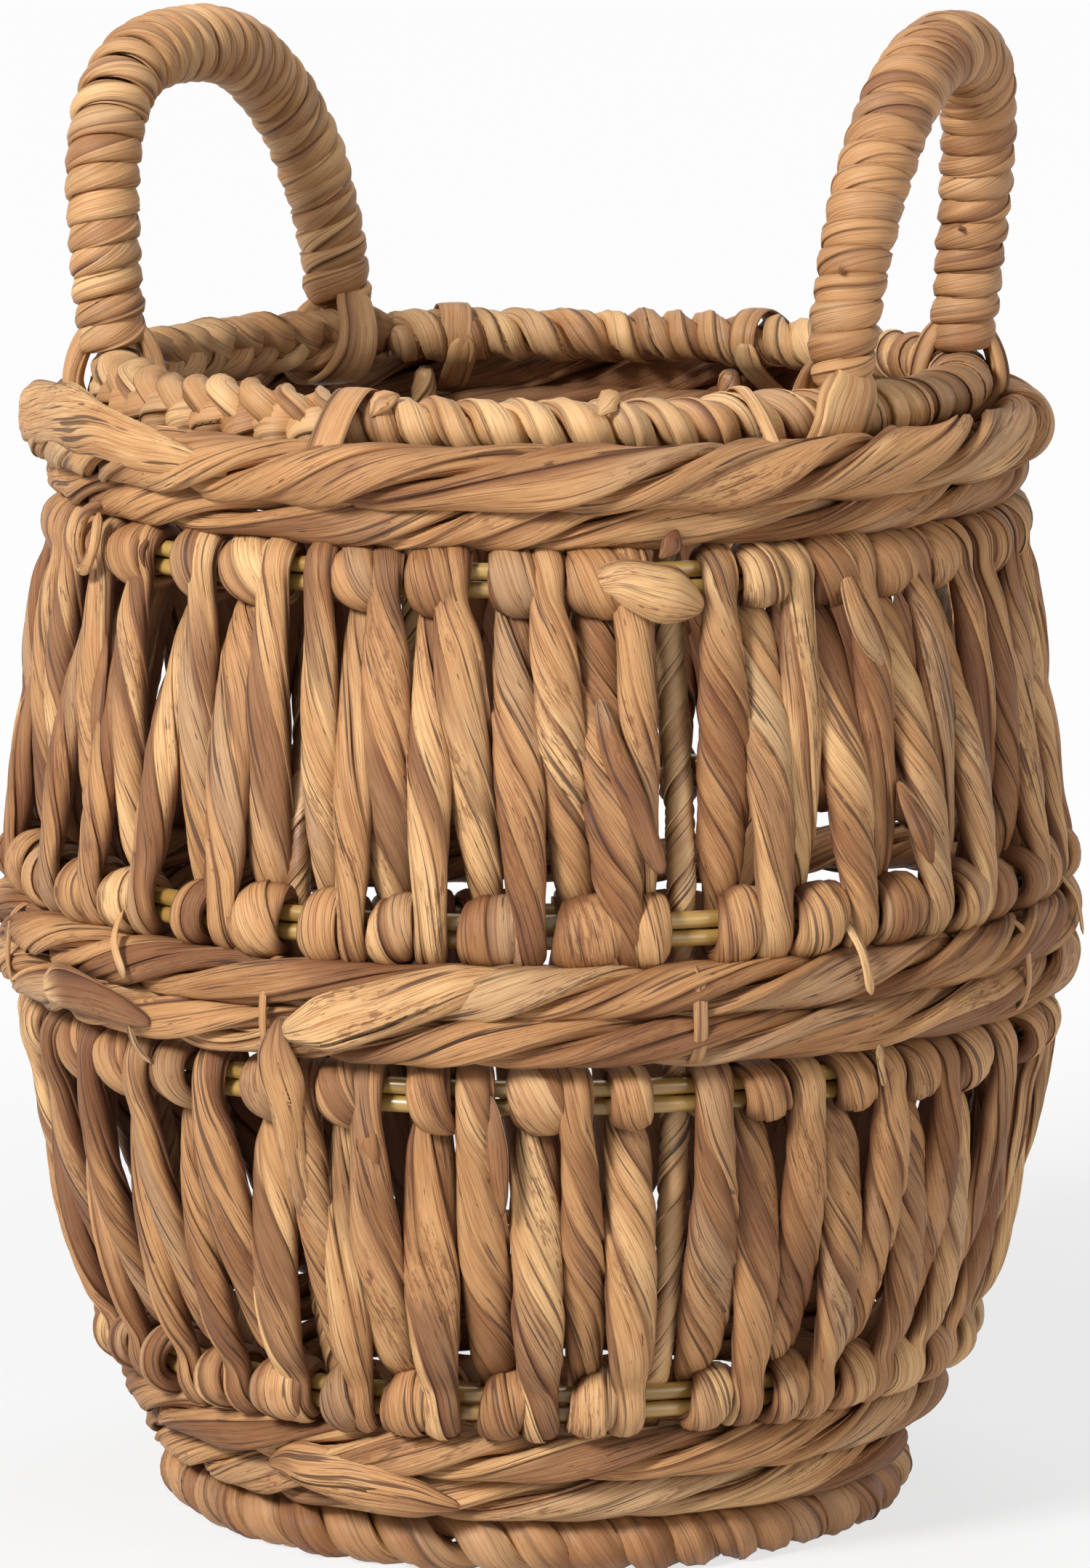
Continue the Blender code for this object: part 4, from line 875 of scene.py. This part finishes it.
def handleFrame(side):
    joint = next(item for item in frame["joints"] if item["name"] == side + "_handle_swing")
    pivot = np.array(joint["pos_m"])
    out = unit(pivot * (1.0, 1.0, 0.0))
    rising = upward * math.cos(grip["lean"]) + out * math.sin(grip["lean"])
    normal = out * math.cos(grip["lean"]) - upward * math.sin(grip["lean"])
    return pivot, np.array(joint["axis"]), rising, normal


def buildHandle(side, handle):
    pivot, along, rising, normal = handleFrame(side)
    rng = np.random.default_rng(handle["seed"])
    halfSpan = rimRadius * math.sin(handle["halfAngle"])
    turn = np.linspace(0.0, math.pi, 1200)
    power = np.where(np.cos(turn) > 0.0, handle["powers"][0], handle["powers"][1])
    reach = np.copysign(np.abs(np.cos(turn)) ** (2.0 / power), np.cos(turn)) * halfSpan
    share = np.sin(turn) ** (2.0 / power)
    reach = reach + handle["skew"] * share ** 2
    lift = handle["foot"] + (handle["rise"] - handle["foot"]) * share
    arch = evenRows(pivot + reach[:, None] * along + lift[:, None] * rising, grip["step"])
    normals = np.broadcast_to(normal, arch.shape)
    high = ease((arch[:, 2] - arch[0, 2]) / (arch[:, 2].max() - arch[0, 2]))
    size = handle["sizes"][0] + (handle["sizes"][1] - handle["sizes"][0]) * high
    bm = newLeaf()
    windBand(bm, arch, normals, grip, {**handleLook, "shade": handle["shade"]}, rng, size)
    for share, inward, forward in handle["tufts"]:
        row = int(share * (len(arch) - 1))
        inside = unit(np.cross(arch[row + 1] - arch[row - 1], normal)) * inward
        start = arch[row] + inside * (grip["orbit"] + grip["halfThick"] - 0.6 * mm) * handle["sizes"][0]
        reachOut = np.linspace(0.0, tuft["length"], tuft["rows"])[:, None]
        tip = inside + rising * 0.25 - np.array([0.0, forward, 0.0])
        addStrand(bm, start + unit(tip) * reachOut, normal, np.linspace(1.0, 0.15, tuft["rows"]) * tuft["halfWidth"],
                  tuft["halfThick"], {**coreLook, "points": 8, "shade": -0.6}, rng)
    finishPiece(side + "HandleWrap", bm, handleLeaf, side + "_handle", [side + "_handle_wrap"])
    core = arch[int(grip["coreFrom"] / grip["step"]):-int(grip["coreFrom"] / grip["step"]):18]
    bm = newLeaf()
    addStrand(bm, core, normal, grip["coreRadius"] * handle["sizes"][0],
              grip["coreRadius"] * handle["sizes"][0], coreLook, rng)
    finishPiece(side + "HandleCore", bm, handleLeaf, side + "_handle", [side + "_handle_core"])
    for label, end, (broad, halfThick, slant) in zip(("first", "second"), (1.0, -1.0), handle["straps"]):
        footPlace = pivot + along * halfSpan * end
        across = unit(np.cross(upward, footPlace * (1.0, 1.0, 0.0)))
        out = unit(footPlace * (1.0, 1.0, 0.0))
        outline = [(strap["neck"], handle["foot"] + strap["neckUp"]), (strap["shoulder"], handle["foot"] - 1.5 * mm)]
        for angle in np.radians((68.0, 100.0, 140.0, 180.0, 220.0, 260.0, 292.0)):
            outline.append((strap["loop"] * math.sin(angle), strap["loop"] * math.cos(angle)))
        outline += [(-lateral, height) for lateral, height in outline[1::-1]]
        aside = slant * mm * ease(np.arange(len(outline)) / 4.0) * ease((len(outline) - 3 - np.arange(len(outline))) / 4.0)
        stops = np.array([footPlace + out * lateral + upward * height for lateral, height in outline])
        stops = stops + across * aside[:, None]
        widths = np.interp(np.linspace(0.0, 1.0, len(stops)), np.linspace(0.0, 1.0, len(strap["widths"])),
                           mm * np.array(strap["widths"])) * broad
        rows = flow(np.column_stack([stops, widths]), stops, strap["step"])
        bm = newLeaf()
        addStrand(bm, rows[:, :3], across, rows[:, 3], halfThick * mm, strapLook, rng)
        finishPiece(f"{side}Handle{label.capitalize()}Strap", bm, tieLeaf, side + "_handle",
                    [f"{side}_handle_{label}_strap"])


for sideName, handle in handles.items():
    buildHandle(sideName, handle)
print("belly basket: handles")


# ties: leaf bands round the rim and the collar, and round the two turns of the waist rope

tieLook = {**plainLeaf, "lobes": 2, "points": 7, "wander": 20 * mm, "shade": 0.2, "endTaper": 4 * mm}
ties = {"collarAzimuths": (-24.2, 27.0, 147.0, -168.0), "collarWidths": (4.6, 2.0, 4.6, 4.6),
        "waistWidths": (2.2, 1.4, 1.6, 1.4, 1.6, 1.4, 1.6, 1.3), "halfThick": 0.55 * mm, "step": 1.2 * mm, "lap": 0.18,
        "skewed": 0.9 * degree, "seed": 110}


def hullStops(discs, steps):
    # the outline round a set of discs, each a centre radius, a height and a size
    rows = []
    for angle in fullTurn * np.arange(steps) / steps:
        across, rise = math.cos(angle), math.sin(angle)
        best = max(discs, key=lambda disc: disc[0] * across + disc[1] * rise + disc[2])
        rows.append((best[0] + best[2] * across, best[1] + best[2] * rise))
    return rows


def buildTie(name, node, azimuth, discs, halfWidth, seed):
    rng = np.random.default_rng(seed)
    steps = 24
    grown = [(radius, height, size + ties["halfThick"]) for radius, height, size in discs]
    outline = hullStops(grown, steps)
    count = int(steps * (1.0 + ties["lap"]))
    stops = []
    for index in range(count):
        radius, height = outline[(index + steps // 2) % steps]
        share = index / (count - 1)
        stops.append((radius + 0.8 * mm * max(0.0, share - 0.8) * 5.0, height, azimuth + ties["skewed"] * (share - 0.5)))
    rows = np.array(stops)
    places = aroundAxis(rows[:, 0], rows[:, 2], rows[:, 1])
    places = flow(places, places, ties["step"])
    bm = newLeaf()
    addStrand(bm, places, sidewaysAt(azimuth), halfWidth, ties["halfThick"], tieLook, rng)
    finishPiece(name, bm, tieLeaf, "basket", [node])


def buildTies():
    collar, waist = ropes["collarRope"], ropes["waistRope"]
    for index, azimuth in enumerate(ties["collarAzimuths"]):
        discs = [(rimRadius, rimHeight, rim["thick"]),
                 (collar["top"][0] * mm, collar["top"][1] * mm, 5.4 * mm)]
        buildTie(f"collarTie{index + 1}", f"collar_tie_{index + 1}", azimuth * degree, discs,
                 ties["collarWidths"][index] * mm, ties["seed"] + index)
    for index in range(ribCount):
        discs = [(waist[level][0] * mm, waist[level][1] * mm, 5.5 * mm) for level in ("top", "low")]
        buildTie(f"waistTie{index + 1}", f"waist_tie_{index + 1}", ribAzimuths[index], discs,
                 ties["waistWidths"][index] * mm, ties["seed"] + 10 + index)


buildTies()
print("belly basket: ties")


# camera at the photograph's angle, pale floor and soft studio light

view = {"aim": Vector((1.9 * mm, 0.0, 190.3 * mm)), "distance": 2.2115, "elevation": 9.1 * degree,
        "focal": 11500.0, "imageHeight": 2157.0, "sensor": 36.0}


def buildCamera():
    data = bpy.data.cameras.new("photoCamera")
    data.sensor_fit = "AUTO"
    data.sensor_width = view["sensor"]
    data.lens = view["focal"] / view["imageHeight"] * view["sensor"]
    camera = bpy.data.objects.new("photoCamera", data)
    back = Vector((0.0, -math.cos(view["elevation"]), math.sin(view["elevation"])))
    camera.location = view["aim"] + back * view["distance"]
    camera.rotation_euler = (math.pi / 2.0 - view["elevation"], 0.0, 0.0)
    bpy.context.scene.collection.objects.link(camera)
    bpy.context.scene.camera = camera


def addLamp(name, place, target, size, power):
    data = bpy.data.lights.new(name, "AREA")
    data.shape = "DISK"
    data.size = size
    data.energy = power
    lamp = bpy.data.objects.new(name, data)
    lamp.location = place
    lamp.rotation_euler = (Vector(target) - Vector(place)).to_track_quat("-Z", "Y").to_euler()
    bpy.context.scene.collection.objects.link(lamp)


studio = {"world": 0.19, "floorSize": 40.0, "floorShade": 0.80, "floorGlow": 0.72, "near": 0.25, "far": 0.9}


def cameraSees(tree):
    path = tree.nodes.new("ShaderNodeLightPath")
    seen = sums(tree, "MAXIMUM", path.outputs["Is Camera Ray"], path.outputs["Is Glossy Ray"])
    return sums(tree, "MAXIMUM", seen, path.outputs["Is Transmission Ray"])


def buildStudio():
    bm = bmesh.new()
    bmesh.ops.create_grid(bm, x_segments=1, y_segments=1, size=studio["floorSize"] / 2.0)
    mesh = bpy.data.meshes.new("floor")
    bm.to_mesh(mesh)
    bm.free()
    floor = bpy.data.objects.new("floor", mesh)
    floor.location.z = -0.02 * mm
    bpy.context.scene.collection.objects.link(floor)
    material, tree, shader = newMaterial("paleFloor")
    tree.nodes.remove(shader)
    plain = addNode(tree, "ShaderNodeBsdfDiffuse", Color=(*[studio["floorShade"]] * 3, 1.0))
    glow = addNode(tree, "ShaderNodeEmission", Color=(1.0, 1.0, 1.0, 1.0), Strength=1.0)
    place = addNode(tree, "ShaderNodeTexCoord").outputs["Object"]
    away = addNode(tree, "ShaderNodeVectorMath", {"operation": "LENGTH"}, i0=place).outputs["Value"]
    brightness = between(tree, away, studio["near"], studio["far"], studio["floorGlow"], 0.97)
    share = sums(tree, "MULTIPLY", cameraSees(tree), brightness)
    both = addNode(tree, "ShaderNodeMixShader", i0=share, i1=plain.outputs[0], i2=glow.outputs[0])
    tree.links.new(both.outputs[0], tree.nodes["Material Output"].inputs["Surface"])
    mesh.materials.append(material)

    world = bpy.data.worlds.new("studio")
    world.use_nodes = True
    bpy.context.scene.world = world
    tree = world.node_tree
    background = tree.nodes["Background"]
    background.inputs["Color"].default_value = (1.0, 1.0, 1.0, 1.0)
    strength = between(tree, cameraSees(tree), 0.0, 1.0, studio["world"], 1.0)
    tree.links.new(strength, background.inputs["Strength"])

    addLamp("keyLamp", (-1.5, -1.8, 1.7), (0.0, 0.0, 0.2), 0.8, 86.0)
    addLamp("fillLamp", (1.7, -1.6, 0.9), (0.0, 0.0, 0.2), 1.4, 14.0)
    addLamp("topLamp", (0.2, 0.6, 2.2), (0.0, 0.0, 0.2), 1.0, 9.0)


buildCamera()
buildStudio()
bpy.context.scene.view_settings.view_transform = "Standard"
print("belly basket: camera, floor and lamps")
